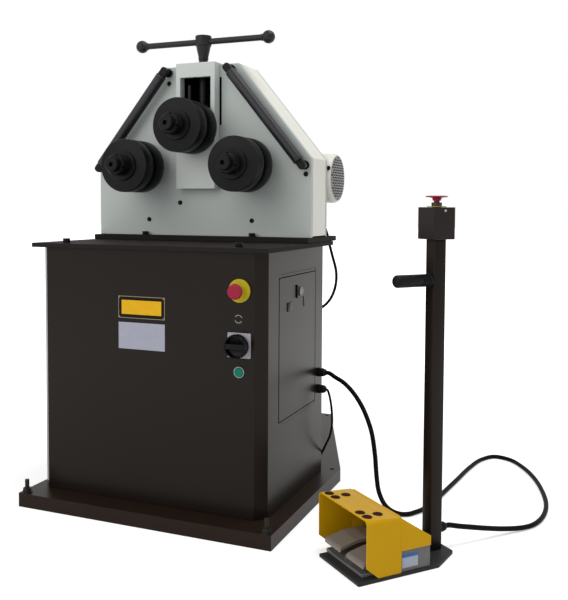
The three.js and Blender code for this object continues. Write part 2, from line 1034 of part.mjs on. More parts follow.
function makeHeadCover() {
  const inner = inset(headOutline, coverSheet);
  const band = extruded("y", headOutline, frontPlateBack + seat, rearPlateFront - seat, [inner]);
  const bottom = block(
    [-headHalfWidth - overrun, headHalfWidth + overrun],
    [frontPlateBack, rearPlateFront],
    [headLow - overrun, headLow + coverSheet + seat],
  );
  return cut(band, bottom, guideClearance);
}
addPiece("head_cover", makeHeadCover(), "creamPaint");

// Guide housing: a box open at its back, with a window whose lower end is round
const windowOutline = [
  ...arc(0, windowLow + windowHalfWidth, windowHalfWidth, 180, 360, 16),
  [windowHalfWidth, windowHigh],
  [-windowHalfWidth, windowHigh],
];

function makeGuide() {
  const outside = block(
    [-guideHalfWidth, guideHalfWidth],
    [guideFront, guideBack],
    [guideLow, guideHigh],
  );
  const inside = block(
    [-guideHalfWidth + guideWall, guideHalfWidth - guideWall],
    [guideFront + guideFrontWall, guideBack + overrun],
    [guideFloor, guideHigh - guideWall],
  );
  const window = extruded(
    "y",
    windowOutline,
    guideFront - overrun,
    guideFront + guideFrontWall + overrun,
  );
  const screwHole = rod(
    "z",
    [0, screwY, 0],
    screwRadius + seat,
    guideHigh - guideWall - overrun,
    guideHigh + overrun,
    middleSides,
  );
  return cut(outside, inside, window, screwHole);
}
addPiece("slide_frame", makeGuide(), "greyPaint");

// Slide block: it carries the top roll's shaft and, on a step above it, the end of the feed screw
const blockHalfWidth = guideHalfWidth - guideWall - seat;
const blockFront = guideFront + guideFrontWall + seat;
const blockTop = topRollZ + blockHalfHeight;

function makeSlideBlock() {
  const body = block(
    [-blockHalfWidth, blockHalfWidth],
    [blockFront, guideBack],
    [topRollZ - blockHalfHeight, blockTop],
  );
  const bore = rod(
    "y",
    [0, 0, topRollZ],
    runningRadius(shaftBodyRadius),
    blockFront - overrun,
    guideBack + overrun,
    middleSides,
  );
  const screwSeat = rod(
    "z",
    [0, screwY, 0],
    screwStepRadius + seat,
    blockTop - screwStepLength - seat,
    blockTop + overrun,
    middleSides,
  );
  const pin = rod(
    "z",
    [guidePinX, guidePinY, 0],
    guidePinRadius,
    blockTop - weld,
    guideHigh - guideWall - slideUp - guidePinClearance,
  );
  return joined(cut(body, bore, screwSeat), pin);
}
addPiece("slide_block", makeSlideBlock(), "steel");

// Feed screw with its hub, and the bar with its two balls through the hub
function makeFeedScrew() {
  const neckLow = guideHigh + slideDown + screwNeckClearance;
  const screw = turned("z", [0, screwY, 0], [
    [0, blockTop - screwStepLength],
    [screwStepRadius, blockTop - screwStepLength],
    [screwStepRadius, blockTop + seat],
    [screwRadius, blockTop + seat],
    [screwRadius, neckLow],
    [screwNeckRadius, neckLow],
    [screwNeckRadius, hubTaperLow],
    [hubTaperRadius, hubTaperHigh],
    [hubRadius, hubLow],
    [hubRadius, hubHigh],
    [0, hubHigh],
  ]);
  return cut(screw, rod("x", [0, screwY, barZ], barRadius + seat, -barReach, barReach));
}
addPiece("feed_screw", makeFeedScrew(), "blackSteel");

function makeHandleBar() {
  const ball = (x) => {
    const geometry = new THREE.SphereGeometry(ballRadius, smallSides, ballRings);
    geometry.translate(x, screwY, barZ);
    return solid(geometry);
  };
  return joined(
    rod("x", [0, screwY, barZ], barRadius, -barReach, barReach),
    ball(-barReach),
    ball(barReach),
  );
}
addPiece("handle_bar", makeHandleBar(), "blackSteel");

// Rolls: shaft, nut, front disc with a boss, and rear disc with the groove's core
const rollPlaces = [
  ["left", -lowerRollX, lowerRollZ],
  ["right", lowerRollX, lowerRollZ],
  ["top", 0, topRollZ],
];
const bore = shaftRadius + seat;
const nutEnd = rollFront - bossLength - nutLength;
const gearBack = gearFront + gearThickness;

function makeFrontDisc(x, z) {
  const boss = rollFront - bossLength;
  return turned("y", [x, 0, z], [
    [bore, boss],
    [bossRadius, boss],
    [bossRadius, rollFront],
    [rollRadius - rollEase, rollFront],
    [rollRadius, rollFront + rollEase],
    [rollRadius, grooveFront - rollEase],
    [rollRadius - rollEase, grooveFront],
    [bore, grooveFront],
  ], roundSides);
}

function makeRearDisc(x, z) {
  return turned("y", [x, 0, z], [
    [bore, grooveFront + seat],
    [grooveRadius, grooveFront + seat],
    [grooveRadius, grooveBack],
    [rollRadius - rollEase, grooveBack],
    [rollRadius, grooveBack + rollEase],
    [rollRadius, rollBack - rollEase],
    [rollRadius - rollEase, rollBack],
    [bore, rollBack],
  ], roundSides);
}

function makeShaft(x, z, isTop) {
  const profile = [
    [0, shaftTip],
    [shaftRadius, shaftTip],
    [shaftRadius, rollBack + seat],
    [shaftBodyRadius, rollBack + seat],
  ];
  if (isTop) {
    profile.push([shaftBodyRadius, guideBack], [0, guideBack]);
  } else {
    profile.push(
      [shaftBodyRadius, gearFront - seat],
      [gearSeatRadius, gearFront - seat],
      [gearSeatRadius, gearBack + seat],
      [rearJournalRadius, gearBack + seat],
      [rearJournalRadius, headBack],
      [0, headBack],
    );
  }
  const socket = block(
    [x - socketHalf, x + socketHalf],
    [shaftTip - overrun, shaftTip + socketDepth],
    [z - socketHalf, z + socketHalf],
  );
  return cut(turned("y", [x, 0, z], profile), socket);
}

function makeShaftNut(x, z) {
  const nut = turned("y", [x, 0, z], [
    [bore, nutEnd],
    [nutRadius - rollEase, nutEnd],
    [nutRadius, nutEnd + rollEase],
    [nutRadius, rollFront - bossLength - seat],
    [bore, rollFront - bossLength - seat],
  ]);
  const slots = Array.from({ length: nutSlotCount }, (_, i) => {
    const geometry = new THREE.BoxGeometry(nutSlotWidth, nutLength / 2, nutSlotDepth * 2);
    geometry.translate(0, nutEnd, nutRadius);
    geometry.rotateY((i * 2 * Math.PI) / nutSlotCount);
    geometry.translate(x, 0, z);
    return solid(geometry);
  });
  return cut(nut, ...slots);
}

for (const [name, x, z] of rollPlaces) {
  addPiece("roll_shaft_" + name, makeShaft(x, z, name === "top"), "steel");
  addPiece("roll_front_" + name, makeFrontDisc(x, z), "blackSteel");
  addPiece("roll_rear_" + name, makeRearDisc(x, z), "blackSteel");
  addPiece("shaft_nut_" + name, makeShaftNut(x, z), "blackSteel");
}

// Gear train: one pinion between the two shaft gears, with their teeth in mesh
const gearCentres = Math.hypot(lowerRollX, pinionZ - lowerRollZ);
const gearModule = (2 * gearCentres) / (gearTeeth + pinionTeeth);

function gearOutline(teeth, phase) {
  const pitchRadius = (gearModule * teeth) / 2;
  const pitchAngle = (2 * Math.PI) / teeth;
  const stations = [
    [pitchRadius - dedendumShare * gearModule, rootToothShare],
    [pitchRadius + addendumShare * gearModule, tipToothShare],
  ];
  const flank = [...stations.map(([r, w]) => [r, -w]), ...stations.reverse()];
  const points = [];
  for (let tooth = 0; tooth < teeth; tooth += 1) {
    for (const [radius, share] of flank) {
      const angle = phase + (tooth + share / 2) * pitchAngle;
      points.push([radius * Math.cos(angle), radius * Math.sin(angle)]);
    }
  }
  return points;
}

function makeGear(x, z, teeth, phase, from, to, boreRadius) {
  const outline = gearOutline(teeth, phase).map(([a, b]) => [x + a, z + b]);
  const wheel = extruded("y", outline, from, to);
  if (boreRadius === 0) return wheel;
  return cut(wheel, rod("y", [x, 0, z], boreRadius, from - overrun, to + overrun, middleSides));
}

// A shaft gear has the middle of a gap where the pinion, whose first tooth points along +X, has a tooth.
for (const [name, side] of [["left", -1], ["right", 1]]) {
  const toGear = Math.atan2(lowerRollZ - pinionZ, side * lowerRollX);
  const pinionPitch = (2 * Math.PI) / pinionTeeth;
  const past = toGear - Math.round(toGear / pinionPitch) * pinionPitch;
  const gearPitch = (2 * Math.PI) / gearTeeth;
  const phase = toGear + Math.PI + gearPitch / 2 + (past * pinionTeeth) / gearTeeth;
  const gear = makeGear(
    side * lowerRollX,
    lowerRollZ,
    gearTeeth,
    phase,
    gearFront,
    gearBack,
    gearSeatRadius + seat,
  );
  addPiece("gear_" + name, gear, "steel");
}

function makePinion() {
  const pinion = makeGear(0, pinionZ, pinionTeeth, 0, gearFront, gearBack, 0);
  return joined(
    pinion,
    rod("y", [0, 0, pinionZ], pinionShaftRadius, gearBack - weld, headBack + gearboxDepth / 2),
  );
}
addPiece("drive_pinion", makePinion(), "steel");

// Gearbox on the rear plate, with its eased upright edges, and the motor on its right side
const gearboxFront = headBack + seat;
const gearboxBack = gearboxFront + gearboxDepth;

function makeGearbox() {
  const outline = [
    [-gearboxHalfWidth, gearboxLow + gearboxEase],
    [-gearboxHalfWidth + gearboxEase, gearboxLow],
    [gearboxHalfWidth - gearboxEase, gearboxLow],
    [gearboxHalfWidth, gearboxLow + gearboxEase],
    [gearboxHalfWidth, gearboxHigh - gearboxEase],
    [gearboxHalfWidth - gearboxEase, gearboxHigh],
    [-gearboxHalfWidth + gearboxEase, gearboxHigh],
    [-gearboxHalfWidth, gearboxHigh - gearboxEase],
  ];
  const body = extruded("y", outline, gearboxFront, gearboxBack);
  const pinionSeat = rod(
    "y",
    [0, 0, pinionZ],
    runningRadius(pinionShaftRadius),
    headBack - overrun,
    headBack + gearboxDepth / 2 + seat,
    middleSides,
  );
  return cut(body, pinionSeat);
}
addPiece("gearbox", makeGearbox(), "greyPaint");

const motorStart = gearboxHalfWidth + seat;
const motorCentre = [0, motorY, motorZ];

function makeMotor() {
  const barrel = turned("x", motorCentre, [
    [0, motorStart],
    [motorFlangeRadius, motorStart],
    [motorFlangeRadius, motorStart + motorFlangeThickness],
    [motorBarrelRadius, motorStart + motorFlangeThickness],
    [motorBarrelRadius, motorBarrelEnd],
    [motorShaftRadius, motorBarrelEnd],
    [motorShaftRadius, fanStart + fanLength],
    [0, fanStart + fanLength],
  ]);
  const fins = Array.from({ length: motorFinCount }, (_, i) => {
    const reach = motorRadius - fanCoverSheet - seat;
    const length = motorBarrelEnd - overrun - motorStart;
    const geometry = new THREE.BoxGeometry(length, fanBladeThickness, motorFinHeight);
    geometry.translate(motorStart + length / 2, 0, reach - motorFinHeight / 2);
    geometry.rotateX((i * 2 * Math.PI) / motorFinCount);
    geometry.translate(...motorCentre);
    return solid(geometry);
  });
  const boxTop = motorZ - motorBarrelRadius + weld;
  const terminalBox = block(
    [terminalBoxX - terminalBoxHalf, terminalBoxX + terminalBoxHalf],
    [motorY - terminalBoxHalf, motorY + terminalBoxHalf],
    [boxTop - terminalBoxHeight - motorFinHeight, boxTop],
  );
  return joined(barrel, ...fins, terminalBox);
}
addPiece("motor", makeMotor(), "creamPaint");

function makeFan() {
  const hub = rod("x", motorCentre, fanHubRadius, fanStart, fanStart + fanLength);
  const blades = Array.from({ length: fanBladeCount }, (_, i) => {
    const length = fanBladeReach - fanHubRadius + weld;
    const geometry = new THREE.BoxGeometry(fanLength, fanBladeThickness, length);
    geometry.translate(fanStart + fanLength / 2, 0, fanBladeReach - length / 2);
    geometry.rotateX((i * 2 * Math.PI) / fanBladeCount);
    geometry.translate(...motorCentre);
    return solid(geometry);
  });
  const shaftHole = rod(
    "x",
    motorCentre,
    motorShaftRadius + seat,
    fanStart - overrun,
    fanStart + fanLength + overrun,
  );
  return cut(joined(hub, ...blades), shaftHole);
}
addPiece("motor_fan", makeFan(), "black");

// Fan cover: a cup over the motor's end, its round end plate cut by columns of upright slots
function makeFanCover() {
  const start = motorBarrelEnd - overrun + seat;
  const inner = motorRadius - fanCoverSheet;
  const cup = turned("x", motorCentre, [
    [inner, start],
    [motorRadius, start],
    [motorRadius, fanCoverEnd - fanCoverEase],
    [motorRadius - fanCoverEase, fanCoverEnd],
    [0, fanCoverEnd],
    [0, fanCoverEnd - fanCoverSheet],
    [inner - fanCoverEase, fanCoverEnd - fanCoverSheet],
    [inner, fanCoverEnd - fanCoverEase],
  ], roundSides);
  const slots = [];
  const reach = (motorRadius - fanCoverEase) * slotMarginShare;
  for (let column = 0; column < slotColumns; column += 1) {
    const y = (column - (slotColumns - 1) / 2) * slotPitch * slotMarginShare;
    const half = Math.sqrt(reach ** 2 - y ** 2);
    for (const way of [-1, 1]) {
      const [from, to] = [slotBridge / 2, half].map((z) => way * z).sort((a, b) => a - b);
      slots.push(
        block(
          [fanCoverEnd - fanCoverSheet - overrun, fanCoverEnd + overrun],
          [motorY + y - slotWidth / 2, motorY + y + slotWidth / 2],
          [motorZ + from, motorZ + to],
        ),
      );
    }
  }
  return cut(cup, ...slots);
}
addPiece("fan_cover", makeFanCover(), "creamPaint");

// Side guide bars: each a round bar with flattened ends on two studs
for (const [name, side] of [["left", -1], ["right", 1]]) {
  const run = Math.hypot(sideLowX - sideHighX, sideHighZ - sideLowZ);
  const tilt = Math.atan2(side * (sideLowX - sideHighX), sideLowZ - sideHighZ);
  const place = (geometry) => {
    geometry.rotateY(tilt);
    geometry.translate(side * sideHighX, sideBarY, sideHighZ);
    return solid(geometry);
  };
  const straight = run - sideTangLength;
  const barrel = new THREE.CylinderGeometry(sideBarRadius, sideBarRadius, straight, smallSides);
  barrel.rotateX(Math.PI / 2);
  barrel.translate(0, 0, run / 2);
  const tangLength = run + 2 * sideTangHalf;
  const tang = new THREE.BoxGeometry(2 * sideTangHalf, sideTangThickness, tangLength);
  tang.translate(0, 0, run / 2);
  const stud = (x, z) =>
    turned("y", [side * x, 0, z], [
      [0, sideBarY],
      [sideStudRadius, sideBarY],
      [sideStudRadius, headFront - seat - sideCollarLength],
      [sideCollarRadius, headFront - seat - sideCollarLength],
      [sideCollarRadius, headFront - seat],
      [0, headFront - seat],
    ], smallSides);
  const bar = joined(
    place(barrel),
    place(tang),
    stud(sideHighX, sideHighZ),
    stud(sideLowX, sideLowZ),
  );
  addPiece("side_bar_" + name, bar, "blackSteel");
}

// A cable gland: a hexagon against the wall, a domed nut outside it and a thread through the wall
function makeGland(axis, centre, face, way, wall, share = 1) {
  const at = (distance) => face + way * distance;
  const profile = [
    [0, at(-wall - seat - glandThreadLength / 2)],
    [glandThreadRadius * share, at(-wall - seat - glandThreadLength / 2)],
    [glandThreadRadius * share, at(seat)],
    [glandHexRadius * share, at(seat)],
    [glandHexRadius * share, at(glandHexLength)],
    [glandDomeRadius * share, at(glandHexLength)],
    [glandDomeRadius * share, at(glandLength * share - glandHexLength / 2)],
    [glandTipRadius * share, at(glandLength * share)],
    [0, at(glandLength * share)],
  ];
  return turned(axis, centre, profile, smallSides);
}

addPiece(
  "gland_upper",
  makeGland("x", [0, glandY, glandUpperZ], cabinetHalfWidth, 1, cabinetSheet),
  "black",
);
addPiece(
  "gland_lower",
  makeGland("x", [0, glandY, glandLowerZ], cabinetHalfWidth, 1, cabinetSheet),
  "black",
);
addPiece(
  "gland_rear",
  makeGland("y", [rearGlandX, 0, rearGlandZ], cabinetBack, 1, cabinetSheet, rearGlandShare),
  "black",
);
addPiece(
  "pedestal_gland",
  makeGland("y", [0, 0, pedestalGlandZ], postHalf, 1, postSheet, rearGlandShare),
  "black",
  pedestal,
);

// Foot-switch cord: from the upper gland down to the floor, round in a loop and back to the pedestal
const glandExit = cabinetHalfWidth + glandLength + seat;
const pedestalBack = new THREE.Vector3(0, postHalf + glandLength * rearGlandShare + seat, pedestalGlandZ);
const cordEnd = pedestalBack.clone().applyEuler(pedestal.rotation).add(pedestal.position);
const cordEndBefore = new THREE.Vector3(0, postHalf + 2 * glandLength, pedestalGlandZ)
  .applyEuler(pedestal.rotation)
  .add(pedestal.position);
const footCordFloor = footCordRadius + seat;
const footCordPoints = [
  [glandExit, glandY, glandUpperZ],
  [378, glandY, glandUpperZ],
  [396, glandY, 335],
  [418, 211, 325],
  [443, 210, 304],
  [470, 203, 280],
  [510, 188, 221],
  [536, 165, 145],
  [548, 135, 79],
  [578, 100, 26],
  [617, 74, 8],
  [652, 76, footCordFloor],
  [678, 133, footCordFloor],
  [708, 264, footCordFloor],
  [725, 411, footCordFloor],
  [748, 577, footCordFloor],
  [790, 698, footCordFloor],
  [901, 610, footCordFloor],
  [982, 399, footCordFloor],
  [995, 309, footCordFloor],
  [993, 197, footCordFloor],
  [980, 136, footCordFloor],
  [937, 84, footCordFloor],
  [880, 35, 14],
  cordEndBefore.toArray(),
  cordEnd.toArray(),
];
addPiece("footswitch_cable", cordAlong(footCordPoints, footCordRadius, cordSides, footCordSteps), "black");

// Motor lead: from the terminal box down behind the table and into the cabinet's back
const motorCordStart = terminalBoxX + terminalBoxHalf + seat;
const motorCordPoints = [
  [motorCordStart, 330, 828],
  [268, 330, 828],
  [296, 337, 808],
  [320, 342, 762],
  [332, 342, 717],
  [344, 338, 679],
  [356, 332, 643],
  [359, 328, 612],
  [355, 322, 580],
  [344, 315, 552],
  [327, 303, 531],
  [300, 286, 516],
  [rearGlandX, 272, rearGlandZ],
  [rearGlandX, cabinetBack + glandLength * rearGlandShare + seat, rearGlandZ],
];
addPiece("motor_cable", cordAlong(motorCordPoints, motorCordRadius, thinCordSides, motorCordSteps), "black");

// Mains coil: the cord spirals in and out again, layer on layer, and climbs where the spiral turns back
const mainsZ = baseHeight + mainsCordRadius + seat;
const coilReach = coilTurnsPerLayer * coilPitch;

function coilPoint(turns) {
  const layer = Math.floor(turns / coilTurnsPerLayer);
  const inLayer = turns / coilTurnsPerLayer - layer;
  const inwards = layer % 2 === 0 ? 1 - inLayer : inLayer;
  const radius = coilInnerRadius + coilReach * inwards;
  let climbed = 0;
  for (let i = 1; i < coilLayers; i += 1) {
    const share = (turns - i * coilTurnsPerLayer + 0.25) / 0.5;
    climbed += Math.min(1, Math.max(0, share));
  }
  const angle = turns * 2 * Math.PI;
  return new THREE.Vector3(
    coilX + radius * Math.cos(angle),
    coilY + radius * Math.sin(angle),
    mainsZ + climbed * coilPitch,
  );
}

function coilCentres() {
  const turns = coilLayers * coilTurnsPerLayer;
  const count = turns * coilSteps;
  const points = Array.from({ length: count + 1 }, (_, i) => {
    return coilPoint(Math.min((i / count) * turns, turns - 1e-9));
  });
  const before = new THREE.Vector3(0, -1, 0).multiplyScalar(2 * mainsCordRadius).add(points[0]);
  const after = new THREE.Vector3(0, 1, 0).multiplyScalar(coilLead).add(points[count]);
  return [before, ...points, after];
}

// A closed tube through the points, with a ring of `sides` points square to the run at each.
function tubeThrough(points, radius, sides) {
  const up = new THREE.Vector3(0, 0, 1);
  const positions = [];
  points.forEach((point, i) => {
    const ahead = points[Math.min(i + 1, points.length - 1)];
    const behind = points[Math.max(i - 1, 0)];
    const along = ahead.clone().sub(behind).normalize();
    const side = along.clone().cross(up).normalize();
    const over = side.clone().cross(along);
    for (const [a, b] of arc(0, 0, radius, 0, 360, sides).slice(0, sides)) {
      const corner = point.clone().addScaledVector(side, a).addScaledVector(over, b);
      positions.push(...corner.toArray());
    }
  });
  const index = [];
  for (let ring = 0; ring + 1 < points.length; ring += 1) {
    for (let k = 0; k < sides; k += 1) {
      const a = ring * sides + k;
      const b = ring * sides + ((k + 1) % sides);
      index.push(a, b, a + sides, b, b + sides, a + sides);
    }
  }
  const last = (points.length - 1) * sides;
  for (let k = 1; k + 1 < sides; k += 1) {
    index.push(0, k + 1, k, last, last + k, last + k + 1);
  }
  const geometry = new THREE.BufferGeometry();
  geometry.setAttribute("position", new THREE.Float32BufferAttribute(positions, 3));
  geometry.setIndex(index);
  return solid(geometry);
}

const coilLine = coilCentres();
addPiece("mains_coil", tubeThrough(coilLine, mainsCordRadius, coilSides), "black");

// The coil's least gap to itself, between centres more than half a turn apart, less one diameter.
let leastGap = Infinity;
coilLine.forEach((point, i) => {
  for (let j = i + coilSteps / 2; j < coilLine.length; j += 1) {
    leastGap = Math.min(leastGap, point.distanceTo(coilLine[j]) - 2 * mainsCordRadius);
  }
});
console.log("mains coil: least gap to itself " + leastGap.toFixed(2) + " mm");

// Mains cord: from the lower gland down on to the tail of the base and along to the coil
const coilStart = coilLine[0];
const mainsCordPoints = [
  [glandExit, glandY, glandLowerZ],
  [374, glandY, glandLowerZ],
  [385, 211, 278],
  [391, 211, 255],
  [393, 211, 222],
  [391, 212, 190],
  [384, 214, 156],
  [364, 224, 124],
  [345, 250, 96],
  [322, 282, 64],
  [290, 318, 46],
  [250, 345, mainsZ],
  [215, 352, mainsZ],
  [coilStart.x + 6, 362, mainsZ],
  [coilStart.x, coilStart.y - 28, mainsZ],
  [coilStart.x, coilStart.y - seat, mainsZ],
];
addPiece("mains_cable", cordAlong(mainsCordPoints, mainsCordRadius, cordSides, mainsCordSteps), "black");

// Plug at the coil's end: a tapered neck, a round body and a skirt round its pins
function makePlug() {
  const end = coilLine[coilLine.length - 1];
  const start = end.y + seat;
  const plugRadius = end.z - baseHeight - seat;
  const mouth = start + plugNeckLength + plugBodyLength;
  const centre = [end.x, 0, end.z];
  const body = turned("y", centre, [
    [0, start],
    [plugNeckRadius, start],
    [plugRadius, start + plugNeckLength],
    [plugRadius, mouth],
    [plugRadius - plugSkirt, mouth],
    [plugRadius - plugSkirt, mouth - plugSkirtDepth],
    [0, mouth - plugSkirtDepth],
  ]);
  const pins = Array.from({ length: plugPinCount }, (_, i) => {
    const angle = (i * 2 * Math.PI) / plugPinCount;
    const x = end.x + plugPinCircle * Math.cos(angle);
    const z = end.z + plugPinCircle * Math.sin(angle);
    const floor = mouth - plugSkirtDepth;
    return rod("y", [x, 0, z], plugPinRadius, floor - weld, floor + plugPinLength, thinCordSides);
  });
  return joined(body, ...pins);
}
addPiece("mains_plug", makePlug(), "black");

// Pedestal: a foot plate, a square tube post, a box on top with a stop button, and a side grip
const plateOutline = [
  [pedestalPlateLeft, pedestalPlateFront],
  [pedestalPlateRight, pedestalPlateFront],
  [pedestalPlateRight, pedestalPlateShoulder],
  [pedestalPlateEndHalf, pedestalPlateBack],
  [-pedestalPlateEndHalf, pedestalPlateBack],
  [pedestalPlateLeft, pedestalPlateShoulder],
];
addPiece(
  "pedestal_base",
  extruded("z", plateOutline, 0, pedestalPlateThickness),
  "blackPaint",
  pedestal,
);

function square(half) {
  return [[-half, -half], [half, -half], [half, half], [-half, half]];
}

function makePost() {
  const tube = extruded("z", square(postHalf), pedestalPlateThickness + seat, postTop, [
    square(postHalf - postSheet),
  ]);
  const glandHole = rod(
    "y",
    [0, 0, pedestalGlandZ],
    glandThreadRadius * rearGlandShare + seat,
    0,
    postHalf + overrun,
  );
  return cut(tube, glandHole);
}
addPiece("pedestal_post", makePost(), "blackPaint", pedestal);

function makePedestalBox() {
  const outside = extruded("z", square(boxHalf), boxLow, boxHigh);
  const inside = extruded("z", square(boxHalf - boxSheet), boxLow + boxSheet, boxHigh - boxSheet);
  const socket = extruded("z", square(postHalf + seat), boxLow - overrun, boxHigh - boxSheet * 2);
  const buttonHole = rod("z", [0, 0, 0], panelHoleRadius, boxHigh - overrun, boxHigh + overrun);
  return cut(outside, inside, socket, buttonHole);
}
addPiece("pedestal_box", makePedestalBox(), "blackPaint", pedestal);

const towerPlateLow = boxHigh + seat;
const towerCollarTop = towerPlateLow + towerPlateThickness + towerCollarLength;

function makeTowerBase() {
  const plate = extruded(
    "z",
    square(boxHalf - boxSheet),
    towerPlateLow,
    towerPlateLow + towerPlateThickness,
  );
  const collar = rod("z", [0, 0, 0], towerCollarRadius, towerPlateLow, towerCollarTop, middleSides);
  const stemLow = boxHigh - boxSheet - seat;
  const stem = rod("z", [0, 0, 0], controlStemRadius, stemLow - weld, towerPlateLow + weld);
  const contacts = block(
    [-contactBlockWidth / 2, contactBlockWidth / 2],
    [-contactBlockHeight / 2, contactBlockHeight / 2],
    [stemLow - contactBlockDepth, stemLow],
  );
  const hole = rod("z", [0, 0, 0], stopStemRadius + seat, stemLow - stopTravel, boxHigh + boxHalf);
  return cut(joined(plate, collar, stem, contacts), hole);
}
addPiece("pedestal_estop_base", makeTowerBase(), "yellow", pedestal);

addPiece(
  "pedestal_estop_button",
  mushroom([0, 0, 0], "z", 1, towerCollarTop, {
    travel: stopTravel,
    neckLength: towerNeckLength - stopTravel,
    headThickness: towerHeadThickness,
    stemLength: towerCollarLength,
    stemRadius: stopStemRadius,
    neckRadius: towerNeckRadius,
    headRadius: towerHeadRadius,
    domeShare: 0.92,
  }),
  "red",
  pedestal,
);

addPiece(
  "pedestal_grip",
  turned("y", [0, 0, gripZ], [
    [0, -postHalf - seat],
    [gripCollarRadius, -postHalf - seat],
    [gripCollarRadius, -postHalf - gripCollarLength],
    [gripRadius, -postHalf - gripCollarLength],
    [gripRadius, -gripReach + gripRadius / 2],
    [gripRadius / 2, -gripReach],
    [0, -gripReach],
  ], smallSides),
  "black",
  pedestal,
);

// Pedal unit: the grey body with its tray and the pedals' pins, two pedals and the yellow guard
const unitLow = pedestalPlateThickness + seat;
const unitLeft = guardLeft + guardSheet + seat;
const unitRight = guardRight - guardSheet - seat;

function makePedalBody() {
  const body = block([unitLeft, unitRight], [unitFront, unitBack], [unitLow, unitTop]);
  const tray = block([trayLeft, trayRight], [trayFront, unitFront + weld], [unitLow, trayTop]);
  const cheek = (x) =>
    joined(
      block(
        [x - pedalEarThickness / 2, x + pedalEarThickness / 2],
        [pedalPivotY - pedalEarRadius, unitFront + pedalEarRadius],
        [unitLow, pedalPivotZ],
      ),
      rod(
        "x",
        [0, pedalPivotY, pedalPivotZ],
        pedalEarRadius,
        x - pedalEarThickness / 2,
        x + pedalEarThickness / 2,
      ),
    );
  const sideWall = block(
    [rightPedalTo + seat, unitRight],
    [guardStepY, unitFront + weld],
    [unitLow, guardStepZ - seat],
  );
  const gapMiddle = (leftPedalTo + rightPedalFrom) / 2;
  const cheekX = [leftPedalFrom - seat - pedalEarThickness / 2, gapMiddle];
  const pin = rod("x", [0, pedalPivotY, pedalPivotZ], pedalPinRadius, cheekX[0], unitRight - weld);
  return joined(body, tray, sideWall, ...cheekX.map(cheek), pin);
}
addPiece("pedal_body", makePedalBody(), "grey", pedestal);

function makePedal(from, to) {
  const outline = [
    [pedalPivotY + pedalEarRadius, pedalPivotZ - pedalEarRadius],
    [pedalPivotY + pedalEarRadius, pedalPivotZ + pedalEarRadius / 2],
    [pedalPivotY - pedalEarRadius, pedalPivotZ + pedalEarRadius],
    [pedalCrestEndY, pedalCrestEndZ],
    [pedalCrestY, pedalCrestZ],
    [pedalFront + pedalLip, pedalTopZ],
    [pedalFront, pedalTopZ - pedalThickness / 2],
    [pedalFront, pedalTopZ - pedalThickness - pedalLip],
    [pedalFront + pedalLip, pedalTopZ - pedalThickness],
    [pedalCrestY, pedalCrestZ - pedalThickness],
    [pedalCrestEndY, pedalCrestEndZ - pedalThickness],
    [pedalPivotY - pedalEarRadius, pedalPivotZ - pedalEarRadius],
  ];
  const pinHole = rod(
    "x",
    [0, pedalPivotY, pedalPivotZ],
    pedalPinRadius + seat,
    from - overrun,
    to + overrun,
  );
  return cut(extruded("x", outline, from, to), pinHole);
}
addPiece("pedal_left", makePedal(leftPedalFrom, leftPedalTo), "grey", pedestal);
addPiece("pedal_right", makePedal(rightPedalFrom, rightPedalTo), "grey", pedestal);

function makeGuard() {
  const hood = (wall) => {
    const [left, right] = [guardLeft + wall, guardRight - wall];
    const top = guardTop - wall;
    const round = guardRound - wall;
    const section = [
      [left, -overrun],
      [right, -overrun],
      ...arc(right - round, top - round, round, 0, 90, 5),
      ...arc(left + round, top - round, round, 90, 180, 5),
    ];
    return extruded("y", section, guardFrontY - overrun, guardTailY + overrun);
  };
  const side = (wall, past) => [
    [guardFrontY - past, guardFrontLowZ],
    [guardCutY, unitLow],
    [guardStepY, unitLow],
    [guardStepY, guardStepZ],
    [guardTailY + past, guardStepZ],
    [guardTailY + past, guardTailZ - wall],
    [guardBendY, guardBendZ - wall],
    [guardFrontY - past, guardTop - wall],
  ];
  const open = [
    [guardFrontY - overrun, -overrun],
    [guardTailY + overrun, -overrun],
    [guardTailY + overrun, guardTailZ - guardSheet],
    [guardBendY, guardBendZ - guardSheet],
    [guardFrontY - overrun, guardTop - guardSheet],
  ];
  const outer = hood(0).intersect(extruded("x", side(0, 0), guardLeft, guardRight));
  const inner = hood(guardSheet).intersect(extruded("x", open, guardLeft, guardRight));
  const holes = [];
  for (const middle of [guardClusterLeft, guardClusterRight]) {
    for (const [dx, y] of [
      [-guardHoleSpread, guardHoleFrontY],
      [guardHoleSpread, guardHoleFrontY],
      [guardHoleShift, guardHoleBackY],
    ]) {
      holes.push(rod("z", [middle + dx, y, 0], guardHoleRadius, guardBendZ - overrun, guardTop + overrun));
    }
  }
  return cut(outer, inner, ...holes);
}
addPiece("pedal_guard", makeGuard(), "yellow", pedestal);

export default object;
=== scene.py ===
import math

import bmesh
import bpy
from mathutils import Matrix, Vector


